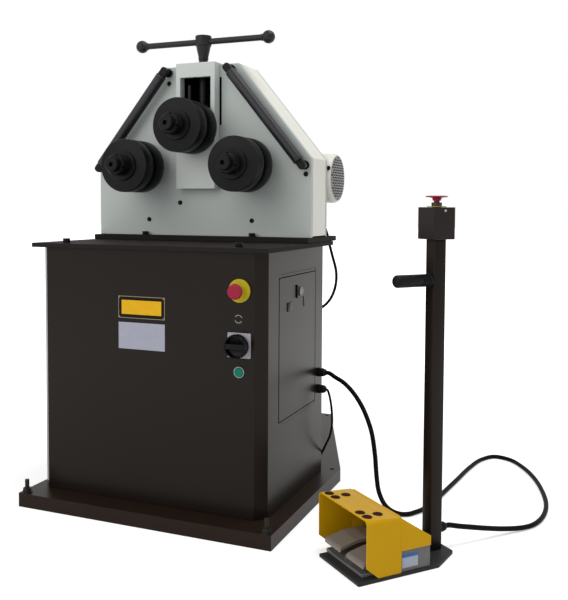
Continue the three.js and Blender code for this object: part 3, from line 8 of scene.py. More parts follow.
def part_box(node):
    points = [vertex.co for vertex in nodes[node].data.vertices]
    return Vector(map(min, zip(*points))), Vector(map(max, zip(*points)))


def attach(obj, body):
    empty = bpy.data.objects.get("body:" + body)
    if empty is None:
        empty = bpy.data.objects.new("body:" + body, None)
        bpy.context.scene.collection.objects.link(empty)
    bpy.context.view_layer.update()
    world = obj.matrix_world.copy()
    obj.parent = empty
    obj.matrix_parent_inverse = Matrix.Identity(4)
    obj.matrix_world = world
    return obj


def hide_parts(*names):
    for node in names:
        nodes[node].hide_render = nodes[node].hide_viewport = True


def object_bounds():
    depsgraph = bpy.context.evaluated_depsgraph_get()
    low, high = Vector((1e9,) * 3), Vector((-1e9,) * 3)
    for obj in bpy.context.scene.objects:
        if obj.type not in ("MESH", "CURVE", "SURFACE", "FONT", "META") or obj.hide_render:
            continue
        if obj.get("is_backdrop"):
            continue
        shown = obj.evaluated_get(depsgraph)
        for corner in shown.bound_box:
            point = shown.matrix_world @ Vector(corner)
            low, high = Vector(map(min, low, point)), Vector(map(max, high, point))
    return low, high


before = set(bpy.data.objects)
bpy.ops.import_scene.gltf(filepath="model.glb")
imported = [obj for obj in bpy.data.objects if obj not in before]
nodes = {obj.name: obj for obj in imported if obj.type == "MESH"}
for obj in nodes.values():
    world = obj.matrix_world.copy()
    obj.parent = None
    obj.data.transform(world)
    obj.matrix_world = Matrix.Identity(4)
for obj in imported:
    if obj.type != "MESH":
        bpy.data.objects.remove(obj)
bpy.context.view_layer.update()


# Camera: it stands in front of the machine's right corner at chest height and looks slightly
# down to the left. Its focal length and the picture's middle come from the photo's perspective.
def add_object(name, data):
    """A new object in the scene."""
    made = bpy.data.objects.new(name, data)
    bpy.context.scene.collection.objects.link(made)
    return made


frame_width = 568
frame_height = 600
sensor_size = 36
focal_pixels = 809.66
principal_x = 274.92
principal_y = 248.69
camera_place = Vector((1.1294, -2.0500, 0.8369))
camera_yaw = math.radians(22.31)
camera_pitch = math.radians(2.99)
camera_roll = math.radians(0.28)

camera_data = bpy.data.cameras.new("camera")
camera_data.lens = focal_pixels / frame_height * sensor_size
camera_data.shift_x = (frame_width / 2 - principal_x) / frame_height
camera_data.shift_y = (principal_y - frame_height / 2) / frame_height
camera = add_object("camera", camera_data)
camera_turn = (
    Matrix.Rotation(camera_yaw, 4, "Z")
    @ Matrix.Rotation(math.radians(90) - camera_pitch, 4, "X")
    @ Matrix.Rotation(camera_roll, 4, "Z")
)
camera.matrix_world = Matrix.Translation(camera_place) @ camera_turn
bpy.context.scene.camera = camera


# Cord sheaths: smooth black PVC and rubber, drawn through a die, a little dusty.
# They give a soft broad highlight along the top and a faint mottle.
def linear(colour):
    """An sRGB hex value as linear RGBA."""
    channels = [int(colour[i:i + 2], 16) / 255 for i in (1, 3, 5)]
    return [c / 12.92 if c <= 0.04045 else ((c + 0.055) / 1.055) ** 2.4 for c in channels] + [1.0]


def add_node(material, kind, inputs=None, **settings):
    """Adds a node with its settings, and its input values or links."""
    node = material.node_tree.nodes.new(kind)
    for name, value in settings.items():
        setattr(node, name, value)
    for name, value in (inputs or {}).items():
        if isinstance(value, bpy.types.NodeSocket):
            material.node_tree.links.new(value, node.inputs[name])
        else:
            node.inputs[name].default_value = value
    return node


def start_material(name, gloss=0.5):
    """A new material with its shader and its Object coordinates; `gloss` is its specular level."""
    material = bpy.data.materials.new(name)
    material.use_nodes = True
    shader = material.node_tree.nodes["Principled BSDF"]
    shader.inputs["Specular IOR Level"].default_value = gloss
    place = add_node(material, "ShaderNodeTexCoord").outputs["Object"]
    return material, shader, place


def join(material, source, target):
    material.node_tree.links.new(source, target)


def noise(material, place, scale, detail):
    """Soft noise as a factor."""
    return add_node(
        material, "ShaderNodeTexNoise", {"Vector": place, "Scale": scale, "Detail": detail}
    ).outputs["Fac"]


def mixed(material, factor, first, second):
    """Two colours or links mixed by a factor."""
    return add_node(
        material, "ShaderNodeMix", {0: factor, 6: first, 7: second}, data_type="RGBA"
    ).outputs[2]


def shine(material, shader, pattern, low, high):
    """Lets the roughness follow a pattern between two values."""
    level = add_node(
        material, "ShaderNodeMapRange", {"Value": pattern, "To Min": low, "To Max": high}
    )
    join(material, level.outputs["Result"], shader.inputs["Roughness"])


def skin(material, shader, shade, height, strength, depth):
    """Gives a shader its colour, and the relief of a height pattern."""
    bump = add_node(
        material, "ShaderNodeBump", {"Height": height, "Strength": strength, "Distance": depth}
    )
    join(material, shade, shader.inputs["Base Color"])
    join(material, bump.outputs["Normal"], shader.inputs["Normal"])
    return material


def sheathing(name, colour, dusty, roughness, gloss=0.08):
    """A drawn or moulded black polymer, with dust in broad patches."""
    material, shader, place = start_material(name, gloss)
    mottle = noise(material, place, 35.0, 4.0)
    shade = mixed(material, mottle, linear(colour), linear(dusty))
    shine(material, shader, mottle, roughness - 0.06, roughness + 0.08)
    return skin(material, shader, shade, noise(material, place, 900.0, 3.0), 0.12, 0.0004)


cord_sheath = sheathing("black_pvc_sheath", "#070707", "#0e0d0d", 0.5, 0.05)

curve_parts = 8


def smooth_line(points):
    """Points along the centripetal Catmull-Rom curve through the given points."""
    points = [Vector(p) for p in points]
    points = [2 * points[0] - points[1]] + points + [2 * points[-1] - points[-2]]
    line = []
    for before, start, end, after in zip(points, points[1:], points[2:], points[3:]):
        knots = [0.0]
        for a, b in ((before, start), (start, end), (end, after)):
            knots.append(knots[-1] + max((b - a).length ** 0.5, 1e-6))
        t0, t1, t2, t3 = knots
        for i in range(curve_parts):
            t = t1 + (t2 - t1) * i / curve_parts
            a1 = before * (t1 - t) / (t1 - t0) + start * (t - t0) / (t1 - t0)
            a2 = start * (t2 - t) / (t2 - t1) + end * (t - t1) / (t2 - t1)
            a3 = end * (t3 - t) / (t3 - t2) + after * (t - t2) / (t3 - t2)
            b1 = a1 * (t2 - t) / (t2 - t0) + a2 * (t - t0) / (t2 - t0)
            b2 = a2 * (t3 - t) / (t3 - t1) + a3 * (t - t1) / (t3 - t1)
            line.append(b1 * (t2 - t) / (t2 - t1) + b2 * (t - t1) / (t2 - t1))
    line.append(points[-2])
    return line


def lay_cord(name, line, radius):
    """A round black cord along a line, as one open curve with closed ends."""
    data = bpy.data.curves.new(name, "CURVE")
    data.dimensions = "3D"
    data.bevel_depth = radius
    data.bevel_resolution = 4
    data.use_fill_caps = True
    spline = data.splines.new("POLY")
    spline.points.add(len(line) - 1)
    for point, place in zip(spline.points, line):
        point.co = (*place, 1)
    spline.use_smooth = True
    data.materials.append(cord_sheath)
    cord = add_object(name, data)
    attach(cord, "machine")
    return cord


# Foot-switch cord: a heavy black cable that leaves the cabinet's upper gland, drops to the floor,
# makes one wide loop behind the pedestal and goes into the gland at the post's back.
seat = 0.0003
side_exit_x = 0.3683
gland_y = 0.211
upper_gland_z = 0.345
pedestal_foot = Matrix.Translation((0.7521, -0.1161, 0))
pedestal_place = pedestal_foot @ Matrix.Rotation(math.radians(-41), 4, "Z")
pedestal_gland_z = 0.056
foot_cord_radius = 0.0065
foot_cord_floor = foot_cord_radius + seat
foot_cord_points = [
    (side_exit_x, gland_y, upper_gland_z),
    (0.378, 0.2108, 0.3440), (0.398, 0.2050, 0.3350), (0.426, 0.1953, 0.3242),
    (0.458, 0.1804, 0.3035), (0.488, 0.1640, 0.2741), (0.510, 0.1505, 0.2423),
    (0.529, 0.1381, 0.2015), (0.542, 0.1290, 0.1400), (0.548, 0.1251, 0.0850),
    (0.557, 0.1180, 0.0430), (0.578, 0.1020, 0.0150), (0.604, 0.0810, 0.0080),
]
for x, y in (
    (0.630, 0.0710), (0.650, 0.0790), (0.665, 0.1010), (0.679, 0.1293), (0.693, 0.1859),
    (0.707, 0.2859), (0.724, 0.4150), (0.741, 0.5436), (0.765, 0.6450), (0.800, 0.6923),
    (0.850, 0.6780), (0.902, 0.6060), (0.944, 0.5084), (0.975, 0.3943), (0.989, 0.3099),
    (0.991, 0.2400), (0.983, 0.1775), (0.967, 0.1316),
):
    foot_cord_points.append((x, y, foot_cord_floor))
foot_cord_points += [
    (0.943, 0.0990, 0.0080), (0.903, 0.0560, 0.0150), (0.860, 0.0050, 0.0290),
    (0.832, -0.0270, 0.0390), (0.808, -0.0540, 0.0475),
    pedestal_place @ Vector((0, 0.052, pedestal_gland_z - 0.0005)),
    pedestal_place @ Vector((0, 0.040, pedestal_gland_z)),
]
foot_cord_line = smooth_line(foot_cord_points)
foot_cord = lay_cord("foot_switch_cord", foot_cord_line, foot_cord_radius)
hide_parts("footswitch_cable")

# Motor lead: a thin black cable from the motor's terminal box, which hangs in a bow behind the
# table and goes into the cabinet's back.
motor_cord_radius = 0.0043
motor_cord_line = smooth_line([
    (0.2553, 0.330, 0.828), (0.268, 0.330, 0.828), (0.296, 0.337, 0.808), (0.320, 0.342, 0.762),
    (0.332, 0.342, 0.717), (0.344, 0.338, 0.679), (0.356, 0.332, 0.643), (0.359, 0.328, 0.612),
    (0.355, 0.322, 0.580), (0.344, 0.315, 0.552), (0.327, 0.303, 0.531), (0.300, 0.286, 0.516),
    (0.290, 0.272, 0.515), (0.290, 0.2613, 0.515),
])
motor_cord = lay_cord("motor_lead", motor_cord_line, motor_cord_radius)
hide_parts("motor_cable")

# Mains cord: it leaves the lower gland, drops on to the base's tail and is put away there in a
# round coil of four layers behind the cabinet, with its plug beside it.
mains_cord_radius = 0.0035
lower_gland_z = 0.295
tray_top = 0.0385
coil_layers = 4
turns_per_layer = 2
coil_inner_radius = 0.027
coil_pitch = 0.0073
coil_middle = Vector((0.120, 0.420, tray_top + mains_cord_radius + seat))
coil_lead = 0.050
coil_steps = 48
mains_z = coil_middle.z


def coil_point(turns):
    """A place on the coil, which spirals in and out and climbs a layer where it turns back."""
    layer = math.floor(turns / turns_per_layer)
    in_layer = turns / turns_per_layer - layer
    inwards = 1 - in_layer if layer % 2 == 0 else in_layer
    radius = coil_inner_radius + turns_per_layer * coil_pitch * inwards
    climbed = 0
    for i in range(1, coil_layers):
        climbed += min(1, max(0, (turns - i * turns_per_layer + 0.25) / 0.5))
    angle = turns * 2 * math.pi
    return coil_middle + Vector((
        radius * math.cos(angle), radius * math.sin(angle), climbed * coil_pitch
    ))


coil_turns = coil_layers * turns_per_layer
coil_line = [
    coil_point(min(i / coil_steps, coil_turns - 1e-9)) for i in range(coil_turns * coil_steps + 1)
]
coil_start = coil_line[0] - Vector((0, 2 * mains_cord_radius, 0))
coil_end = coil_line[-1] + Vector((0, coil_lead, 0))
mains_cord_line = smooth_line([
    (side_exit_x, gland_y, lower_gland_z), (0.3725, gland_y, 0.2930),
    (0.3780, 0.211, 0.2800), (0.3830, 0.211, 0.2580), (0.3870, 0.211, 0.2250),
    (0.3870, 0.212, 0.1900), (0.3800, 0.215, 0.1560), (0.3640, 0.225, 0.1240),
    (0.3450, 0.250, 0.0940), (0.3210, 0.283, 0.0640), (0.2890, 0.316, 0.0470),
    (0.2500, 0.345, mains_z), (0.2150, 0.352, mains_z),
    (coil_start.x + 0.010, 0.360, mains_z), (coil_start.x, coil_start.y - 0.028, mains_z),
    coil_start,
]) + coil_line + [coil_end]
mains_cord = lay_cord("mains_cord", mains_cord_line, mains_cord_radius)
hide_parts("mains_cable", "mains_coil")


# Plug: a black moulded round industrial plug, with a ribbed cable neck, a smooth body and a skirt
# round five bright pins.
def along(start, *points, way=1):
    """A profile from [radius, distance] pairs in millimetres, measured from a start."""
    return [(radius / 1000, start + way * distance / 1000) for radius, distance in points]


def spin_profile(points, centre=(0, 0, 0), axis="z", steps=48, mesh=None):
    """A turned shape: [radius, place along the axis] points spun about an axis."""
    mesh = mesh or bmesh.new()
    toward = {
        "x": lambda r, a: Vector((a, centre[1] + r, centre[2])),
        "y": lambda r, a: Vector((centre[0] + r, a, centre[2])),
        "z": lambda r, a: Vector((centre[0] + r, centre[1], a)),
    }[axis]
    line = [mesh.verts.new(toward(r, a)) for r, a in points]
    edges = [mesh.edges.new(pair) for pair in zip(line, line[1:])]
    if points[0][0] > 0 and points[-1][0] > 0:
        edges.append(mesh.edges.new((line[-1], line[0])))
    bmesh.ops.spin(
        mesh,
        geom=line + edges,
        cent=centre,
        axis={"x": (1, 0, 0), "y": (0, 1, 0), "z": (0, 0, 1)}[axis],
        angle=2 * math.pi,
        steps=steps,
        use_merge=True,
    )
    return mesh


crease = math.radians(35)


def mesh_data(mesh, name):
    """Turns a finished bmesh into mesh data."""
    data = bpy.data.meshes.new(name)
    mesh.to_mesh(data)
    mesh.free()
    return data


def finish_mesh(mesh, name, material, body="machine", place=None):
    """Closes a mesh's seams, puts it in its place and turns its faces out, as a body's piece."""
    bmesh.ops.remove_doubles(mesh, verts=mesh.verts, dist=1e-6)
    if place is not None:
        bmesh.ops.transform(mesh, matrix=place, verts=mesh.verts)
    bmesh.ops.recalc_face_normals(mesh, faces=mesh.faces)
    data = mesh_data(mesh, name)
    data.shade_smooth()
    data.set_sharp_from_angle(angle=crease)
    data.materials.append(material)
    piece = add_object(name, data)
    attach(piece, body)
    return piece


def turned(name, material, points, centre, axis, steps=48, body="machine"):
    """One turned piece."""
    return finish_mesh(spin_profile(points, centre, axis, steps), name, material, body)


moulded_black = sheathing("moulded_black_abs", "#0b0a0b", "#151414", 0.34)

plug_low, plug_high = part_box("mains_plug")
plug_x = (plug_low.x + plug_high.x) / 2
plug_z = coil_end.z
plug_radius = plug_high.z - plug_z
plug_start = plug_low.y
plug_mouth = plug_high.y
pin_root = plug_mouth - 0.034
neck_ribs = 5
plug_profile = along(plug_start, (0, 0), (8.5, 0))
for i in range(neck_ribs):
    rib = 9.5 + 1.2 * i
    plug_profile += along(plug_start + 0.002 + i * 0.0045, (rib, 0), (rib, 2.5), (rib - 1.5, 3))
plug_profile += [
    (plug_radius - 0.004, plug_start + 0.030),
    (plug_radius - 0.001, plug_start + 0.034),
    (plug_radius - 0.001, plug_start + 0.062),
    (plug_radius, plug_start + 0.064),
    (plug_radius, plug_mouth - 0.001),
    (plug_radius - 0.001, plug_mouth),
    (plug_radius - 0.003, plug_mouth),
    (plug_radius - 0.003, pin_root),
    (0, pin_root),
]
plug = turned(
    "industrial_plug", moulded_black, plug_profile, (plug_x, 0, plug_z), "y"
)
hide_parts("mains_plug")


# Bright metal on the plug's pins, the lock, the start button and the gearbox's bolts: plate over
# a turned part, nearly mirror-like, with a slight haze.
def plated(name, colour, roughness):
    material, shader, place = start_material(name)
    shine(material, shader, noise(material, place, 120.0, 5.0), roughness - 0.05, roughness + 0.1)
    shader.inputs["Base Color"].default_value = linear(colour)
    shader.inputs["Metallic"].default_value = 1.0
    return material


bright_plate = plated("bright_zinc_plate", "#a9abae", 0.25)
plug_pin_count = 5
plug_pin_circle = 0.012
for i in range(plug_pin_count):
    pin_angle = 2 * math.pi * i / plug_pin_count
    pin_x = plug_x + plug_pin_circle * math.cos(pin_angle)
    pin_z = plug_z + plug_pin_circle * math.sin(pin_angle)
    turned(
        f"plug_pin_{i + 1}", bright_plate,
        along(pin_root, (0, 0), (3, 0), (3, 26.5), (2, 28), (0, 28)),
        (pin_x, 0, pin_z), "y", 20,
    )


# Base tray: folded sheet steel in dark brown-black enamel, sprayed and stoved, with a fine orange
# peel. Its two floor studs, their washers and nuts are of darkened steel, a shade lighter.
def reckon(material, operation, *values):
    """The result of a math node on numbers or links."""
    return add_node(
        material, "ShaderNodeMath", dict(enumerate(values)), operation=operation
    ).outputs[0]


def in_box(material, place, low, high):
    """1 where the surface lies between two corners, and 0 elsewhere."""
    parts = add_node(material, "ShaderNodeSeparateXYZ", {"Vector": place})
    inside = None
    for axis, a, b in zip("XYZ", low, high):
        within = reckon(material, "COMPARE", parts.outputs[axis], (a + b) / 2, (b - a) / 2)
        inside = within if inside is None else reckon(material, "MULTIPLY", inside, within)
    return inside


def enamel(name, colour, second, roughness, gloss, peel=0.10, other=None, other_boxes=()):
    """Sprayed enamel with its orange peel; `other` is the colour inside some boxes."""
    peel_size = 0.004
    material, shader, place = start_material(name, gloss)
    clouds = noise(material, place, 3.5, 5.0)
    shade = mixed(material, clouds, linear(colour), linear(second))
    for low, high in other_boxes:
        shade = mixed(material, in_box(material, place, low, high), shade, linear(other))
    shine(material, shader, clouds, roughness - 0.05, roughness + 0.07)
    return skin(material, shader, shade, noise(material, place, 1 / peel_size, 2.0), peel, 0.0008)


def soften(piece, width, segments=2, angle=30):
    """Rounds a piece's sharp edges with a modifier."""
    bevel = piece.modifiers.new("bevel", "BEVEL")
    bevel.width = width
    bevel.segments = segments
    bevel.limit_method = "ANGLE"
    bevel.angle_limit = math.radians(angle)
    return bevel


def dress(node, material, edge, segments=2):
    """Gives a CAD node its material, and softens its edges."""
    piece = nodes[node]
    piece.data.materials.clear()
    piece.data.materials.append(material)
    weld = piece.modifiers.new("weld", "WELD")
    weld.merge_threshold = 1e-5
    soften(piece, edge, segments, 25).harden_normals = True


base_enamel = enamel(
    "dark_brown_base_enamel", "#1d120c", "#231912", 0.34, 0.10,
    other="#262422", other_boxes=[((-1, -1, 0.0392), (1, 1, 0.09))],
)
dress("base_tray", base_enamel, 0.0015, 3)

# Cabinet and door: folded sheet steel in the same enamel, with chamfered front corners.
# The gloss is low seen square on, and rises to a grey sheen along the side.
dark_enamel = enamel("dark_brown_enamel", "#18100b", "#1b1511", 0.29, 0.105)
dress("cabinet_shell", dark_enamel, 0.0015, 3)
dress("cabinet_door", dark_enamel, 0.0010)

# Tabletop and the head's base plate: thick steel plate, sprayed matt dark, dull along the top.
# Both have the same enamel and the same softly rounded edges.
dull_enamel = enamel("dull_dark_enamel", "#211e1d", "#292625", 0.6, 0.02)
dress("tabletop", dull_enamel, 0.0014)
dress("head_base_plate", dull_enamel, 0.0014)


# Bolts and screws: black oxide steel, hexagon heads on washers on the table and the base plate,
# and button heads with a socket in the head's front plate.
def black_oxide(name, centre=None, axis="y", colours=("#0a0a0b", "#141314"), gloss=0.10):
    """Hot black oxide on turned steel, with fine lathe rings about a centre."""
    material, shader, place = start_material(name, gloss)
    mottle = noise(material, place, 18.0, 6.0)
    if centre is None:
        height = noise(material, place, 500.0, 2.0)
    else:
        off_centre = {"Vector": place, "Location": [-c for c in centre]}
        moved = add_node(material, "ShaderNodeMapping", off_centre).outputs["Vector"]
        height = add_node(
            material,
            "ShaderNodeTexWave",
            {"Vector": moved, "Scale": 160.0, "Distortion": 0.6, "Detail": 2.0},
            wave_type="RINGS",
            rings_direction=axis.upper(),
        ).outputs["Fac"]
    shader.inputs["Metallic"].default_value = 0.1
    shine(material, shader, mottle, 0.32, 0.48)
    shade = mixed(material, mottle, linear(colours[0]), linear(colours[1]))
    return skin(material, shader, shade, height, 0.10, 0.0003)


black_steel = black_oxide("black_oxide_steel")


def edges_of(verts):
    return list({edge for vert in verts for edge in vert.link_edges})


def round_edges(mesh, edges, width, segments=2):
    bmesh.ops.bevel(
        mesh, geom=edges, offset=width, affect="EDGES", segments=segments, profile=0.5, material=-1
    )


def add_rod(mesh, sides, radius, length, middle, end_radius=None):
    """A rod with flat ends, round or with few sides, along Z of its middle's matrix."""
    return bmesh.ops.create_cone(
        mesh,
        segments=sides,
        radius1=radius,
        radius2=radius if end_radius is None else end_radius,
        depth=length,
        cap_ends=True,
        matrix=middle,
    )["verts"]


def add_hex_bolt(mesh, foot, radius, height, way=Matrix()):
    """A hexagon head on its washer, standing along +Z of `way` from a foot."""
    washer = 0.0018
    place = Matrix.Translation(foot) @ way
    middle = place @ Matrix.Translation((0, 0, washer + height / 2))
    round_edges(mesh, edges_of(add_rod(mesh, 6, radius, height, middle)), 0.0007)
    middle = place @ Matrix.Translation((0, 0, washer / 2))
    add_rod(mesh, 28, radius * 1.2, washer, middle, radius * 1.15)


def add_button_screw(mesh, foot, radius, height, way):
    """A button head with a round socket, standing along +Z of `way` from a foot."""
    shape = (
        (0, 0.35), (0.42, 0.4), (0.45, 1), (0.62, 0.97), (0.85, 0.72), (0.98, 0.35), (1, 0), (0, 0)
    )
    head = spin_profile([(radius * r, height * a) for r, a in shape], steps=24)
    bmesh.ops.transform(head, matrix=Matrix.Translation(foot) @ way, verts=head.verts)
    part = mesh_data(head, "part")
    mesh.from_mesh(part)
    bpy.data.meshes.remove(part)


table_top_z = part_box("tabletop")[1].z
ledge_top_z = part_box("head_base_plate")[1].z
table_bolts = bmesh.new()
for x, y in ((-0.260, -0.190), (0.268, -0.190), (-0.335, 0.275), (0.335, 0.275)):
    add_hex_bolt(table_bolts, (x, y, table_top_z), 0.0100, 0.0115)
finish_mesh(table_bolts, "table_bolts", black_steel)
ledge_bolts = bmesh.new()
for x, y in ((-0.181, 0.0965), (0.1765, 0.0965), (-0.300, 0.300), (0.300, 0.3005)):
    add_hex_bolt(ledge_bolts, (x, y, ledge_top_z), 0.0098, 0.0095)
finish_mesh(ledge_bolts, "ledge_bolts", black_steel)

face_forward = Matrix.Rotation(math.radians(90), 4, "X")
face_back = Matrix.Rotation(math.radians(-90), 4, "X")
face_right = Matrix.Rotation(math.radians(90), 4, "Y")
head_front_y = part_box("head_front_plate")[0].y
plate_screws = bmesh.new()
for x, z, radius in (
    (-0.1047, 1.205, 0.0070), (0.3363, 0.929, 0.0072), (-0.0677, 0.847, 0.0070),
    (-0.1757, 0.796, 0.0070), (0.1693, 0.795, 0.0070),
):
    add_button_screw(plate_screws, (x, head_front_y, z), radius, 0.0042, face_forward)
finish_mesh(plate_screws, "front_plate_screws", black_steel)

# Door lock: a turned and plated barrel with a slot, a cam behind it, a dark pull strip and a key
# tag that hangs flat on the door from a wire.
dress("door_lock", plated("lock_nickel_plate", "#6d6e6f", 0.36), 0.0005)


def add_cube(mesh, middle, size):
    """A plain box of a size about its middle's matrix."""
    matrix = middle @ Matrix.Diagonal((*size, 1))
    return bmesh.ops.create_cube(mesh, size=1, matrix=matrix)["verts"]


def add_block(mesh, low, high, edge=0.0, segments=2):
    """A box between two corners with rounded edges."""
    low, high = Vector(low), Vector(high)
    made = add_cube(mesh, Matrix.Translation((low + high) / 2), high - low)
    if edge:
        round_edges(mesh, edges_of(made), edge, segments)
    return mesh


def block(low, high, edge, segments=2):
    """A new mesh with one rounded box."""
    return add_block(bmesh.new(), low, high, edge, segments)


door_face = 0.344
door_skin = door_face - 0.0002
door_strip = block((door_skin, 0.0205, 0.586), (door_face + 0.004, 0.0255, 0.622), 0.0009)
finish_mesh(door_strip, "door_pull_strip", moulded_black, "door")
key_tag = block((door_face, -0.0475, 0.5555), (door_face + 0.0018, -0.0135, 0.5795), 0.0007)
tag_wire = Matrix.Translation((door_face + 0.0008, 0.078, 0.571))
add_rod(key_tag, 10, 0.0007, 0.030, tag_wire @ Matrix.Rotation(math.radians(12), 4, "X"))
finish_mesh(key_tag, "key_tag", moulded_black, "door")

# Door edge: a thin black strip laid along three sides of the door's rim, clear of its pins: a
# painted shadow of the gap round the door.
door_low, door_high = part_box("cabinet_door")
edge_wide = 0.0022
edge_proud = 0.0003
pin_clear = 0.02
gap_shadow_strip = bmesh.new()
for low, high in (
    ((door_low.y + pin_clear, door_high.z - 1.7 * edge_wide), (door_high.y, door_high.z)),
    ((door_low.y + pin_clear, door_low.z), (door_high.y, door_low.z + edge_wide / 2)),
    ((door_high.y - edge_wide, door_low.z), (door_high.y, door_high.z)),
):
    add_block(gap_shadow_strip, (door_skin, *low), (door_face + edge_proud, *high))
finish_mesh(gap_shadow_strip, "door_gap_painted_shadow_strip", moulded_black, "door")

# Electrics plate: galvanised sheet inside the cabinet, with three contactors in grey moulded
# housings and a row of terminals.
galvanised, galvanised_shader, galvanised_at = start_material("galvanised_sheet", 0.4)
spangle = add_node(
    galvanised, "ShaderNodeTexVoronoi", {"Vector": galvanised_at, "Scale": 120.0}, feature="F1"
)
zinc = mixed(galvanised, spangle.outputs["Color"], linear("#7d8184"), linear("#999c9f"))
housing = in_box(galvanised, galvanised_at, (0.2393, -1, 0), (0.310, 1, 1))
zinc_or_housing = mixed(galvanised, housing, zinc, linear("#3c3d40"))
join(galvanised, zinc_or_housing, galvanised_shader.inputs["Base Color"])
bare = add_node(galvanised, "ShaderNodeMath", {0: 0.85, 1: housing}, operation="SUBTRACT")
bare.use_clamp = True
join(galvanised, bare.outputs[0], galvanised_shader.inputs["Metallic"])
galvanised_shader.inputs["Roughness"].default_value = 0.42
dress("electrics_plate", galvanised, 0.0010)


# Emergency stop on the panel: a yellow round plate and collar, and a red mushroom head that is
# pushed in. All three are glossy moulded plastic.
def moulded(name, colour, second_colour, roughness, gloss=0.4):
    """Glossy injection-moulded plastic with a faint flow mark."""
    material, shader, place = start_material(name, gloss)
    flow = noise(material, place, 60.0, 3.0)
    shine(material, shader, flow, roughness - 0.06, roughness + 0.06)
    shade = mixed(material, flow, linear(colour), linear(second_colour))
    return skin(material, shader, shade, noise(material, place, 1200.0, 2.0), 0.06, 0.0002)


panel_face = -0.2035
panel_inside = -0.1999
control_x = 0.276
stop_yellow = moulded("yellow_abs", "#ad9d1e", "#b9a926", 0.34, 0.08)
stop_red = moulded("red_abs", "#8c2336", "#95283b", 0.34, 0.08)
contact_grey = moulded("grey_contact_block", "#4b4c4e", "#565759", 0.5)


def contact_block(name, centre, bore=7.7):
    """The switch contacts behind the panel, on the sleeve that a control slides in."""
    sleeve = along(panel_face, (bore, 0.1), (11, 0.1), (11, 4.1), (bore, 4.1))
    mesh = spin_profile(sleeve, centre, "y", 32)
    middle = Vector((control_x, panel_inside + 0.017, centre[2]))
    half = Vector((0.015, 0.017, 0.021))
    add_block(mesh, middle - half, middle + half, 0.0012)
    finish_mesh(mesh, name, contact_grey)


stop_centre = (control_x, 0, 0.624)
contact_block("stop_contact_block", stop_centre)
stop_plate = turned(
    "stop_plate", stop_yellow,
    along(
        panel_face, (7.7, 0), (30, 0), (30, 2.2), (29, 3), (17.2, 3), (15.8, 4), (15, 6),
        (15, 14.2), (14.2, 15), (7.7, 15), way=-1,
    ),
    stop_centre, "y", 64,
)
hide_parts("estop_base")
stop_button = turned(
    "stop_button_head", stop_red,
    along(
        panel_face, (0, 3), (7, 3), (7, 19.3), (10, 19.3), (10.5, 22.7), (18, 23.7),
        (19.5, 24.9), (20, 26.7), (20, 28.7), (19.4, 31.3), (17.8, 33.1), (15, 34.1),
        (10, 34.3), (0, 34.1), way=-1,
    ),
    stop_centre, "y", 64, "stop_button",
)
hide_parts("estop_button")

# Turning mark: two curved arrows printed on the panel in pale green-grey paint, for the rolls'
# direction.
mark_paint = moulded("pale_printing_ink", "#6f8078", "#7b8b82", 0.6)
mark_centre = Vector((0.273, -0.20335, 0.552))
mark_radius = 0.0088
mark_width = 0.0022
mark_half = 0.00025
arrow_sweep = 115
turning_mark = bmesh.new()
for start_angle in (20, 200):
    start = math.radians(start_angle)
    end = math.radians(start_angle + arrow_sweep)
    out = Vector((math.cos(start), 0, math.sin(start)))
    foot = mark_centre + out * mark_radius
    corners = [
        turning_mark.verts.new(foot + out * r + Vector((0, side * mark_half, 0)))
        for r, side in ((0, -1), (mark_width, -1), (mark_width, 1), (0, 1))
    ]
    face = turning_mark.faces.new(corners)
    bmesh.ops.spin(
        turning_mark,
        geom=[face, *face.edges, *corners],
        cent=mark_centre,
        axis=(0, 1, 0),
        angle=math.radians(-arrow_sweep),
        steps=16,
    )
    tip = mark_centre + Vector((math.cos(end), 0, math.sin(end))) * (mark_radius + mark_width / 2)
    turn = Matrix.Rotation(-end - math.radians(90), 4, "Y")
    add_rod(
        turning_mark, 3, 0.0034, 2 * mark_half, Matrix.Translation(tip) @ turn @ face_forward
    )
finish_mesh(turning_mark, "turning_mark", mark_paint)

# Main switch: a square grey plate with rounded corners and a ring, and a black knob like a cup
# with a level grip bar across it. Moulded plastic.
switch_grey = moulded("switch_grey_abs", "#8d8b90", "#98969b", 0.4)
knob_black = moulded("knob_black_abs", "#050505", "#0a090a", 0.3, 0.10)
switch_centre = Vector((control_x, 0, 0.4855))
switch_face = panel_face - 0.004
switch_square = spin_profile(
    along(switch_face, (5.5, -0.5), (25, -0.5), (25, 4.2), (24.2, 5), (5.5, 5), way=-1),
    switch_centre, "y", 48,
)
square_middle = Matrix.Translation(switch_centre + Vector((0, panel_face - 0.002, 0)))
edges = edges_of(add_cube(switch_square, square_middle, (0.064, 0.004, 0.064)))
upright = [e for e in edges if abs((e.verts[0].co - e.verts[1].co).y) > 0.003]
round_edges(switch_square, upright, 0.003, 4)
rim = [
    e for e in switch_square.edges
    if all(abs(v.co.y - switch_face) < 1e-6 for v in e.verts)
]
round_edges(switch_square, rim, 0.0007)
mark_place = switch_centre + Vector((0, switch_face, 0))
for across in (Vector((0.0292, 0, 0)), Vector((0, 0, 0.0292))):
    low, high = Vector((-0.0006, -0.0004, -0.0022)), Vector((0.0006, 0.0002, 0.0022))
    add_block(switch_square, mark_place + across + low, mark_place + across + high)
switch_square = finish_mesh(switch_square, "switch_square_plate", switch_grey)
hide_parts("switch_plate")
contact_block("switch_contact_block", switch_centre)
knob_back = switch_face - 0.005 - seat
knob = spin_profile(
    along(
        knob_back, (0, 0), (28, 0), (30, 1.5), (30, 18.5), (29.3, 20.8), (27.8, 22), (26.6, 22),
        (26, 21.2), (25.6, 6), (24, 5), (0, 5), way=-1,
    ),
    switch_centre, "y", 72,
)
spin_profile(along(knob_back, (0, -1), (5, -1), (5, 12.4), (0, 12.4)), switch_centre, "y", 24, knob)
grip_bar = switch_centre + Vector((0, knob_back, 0))
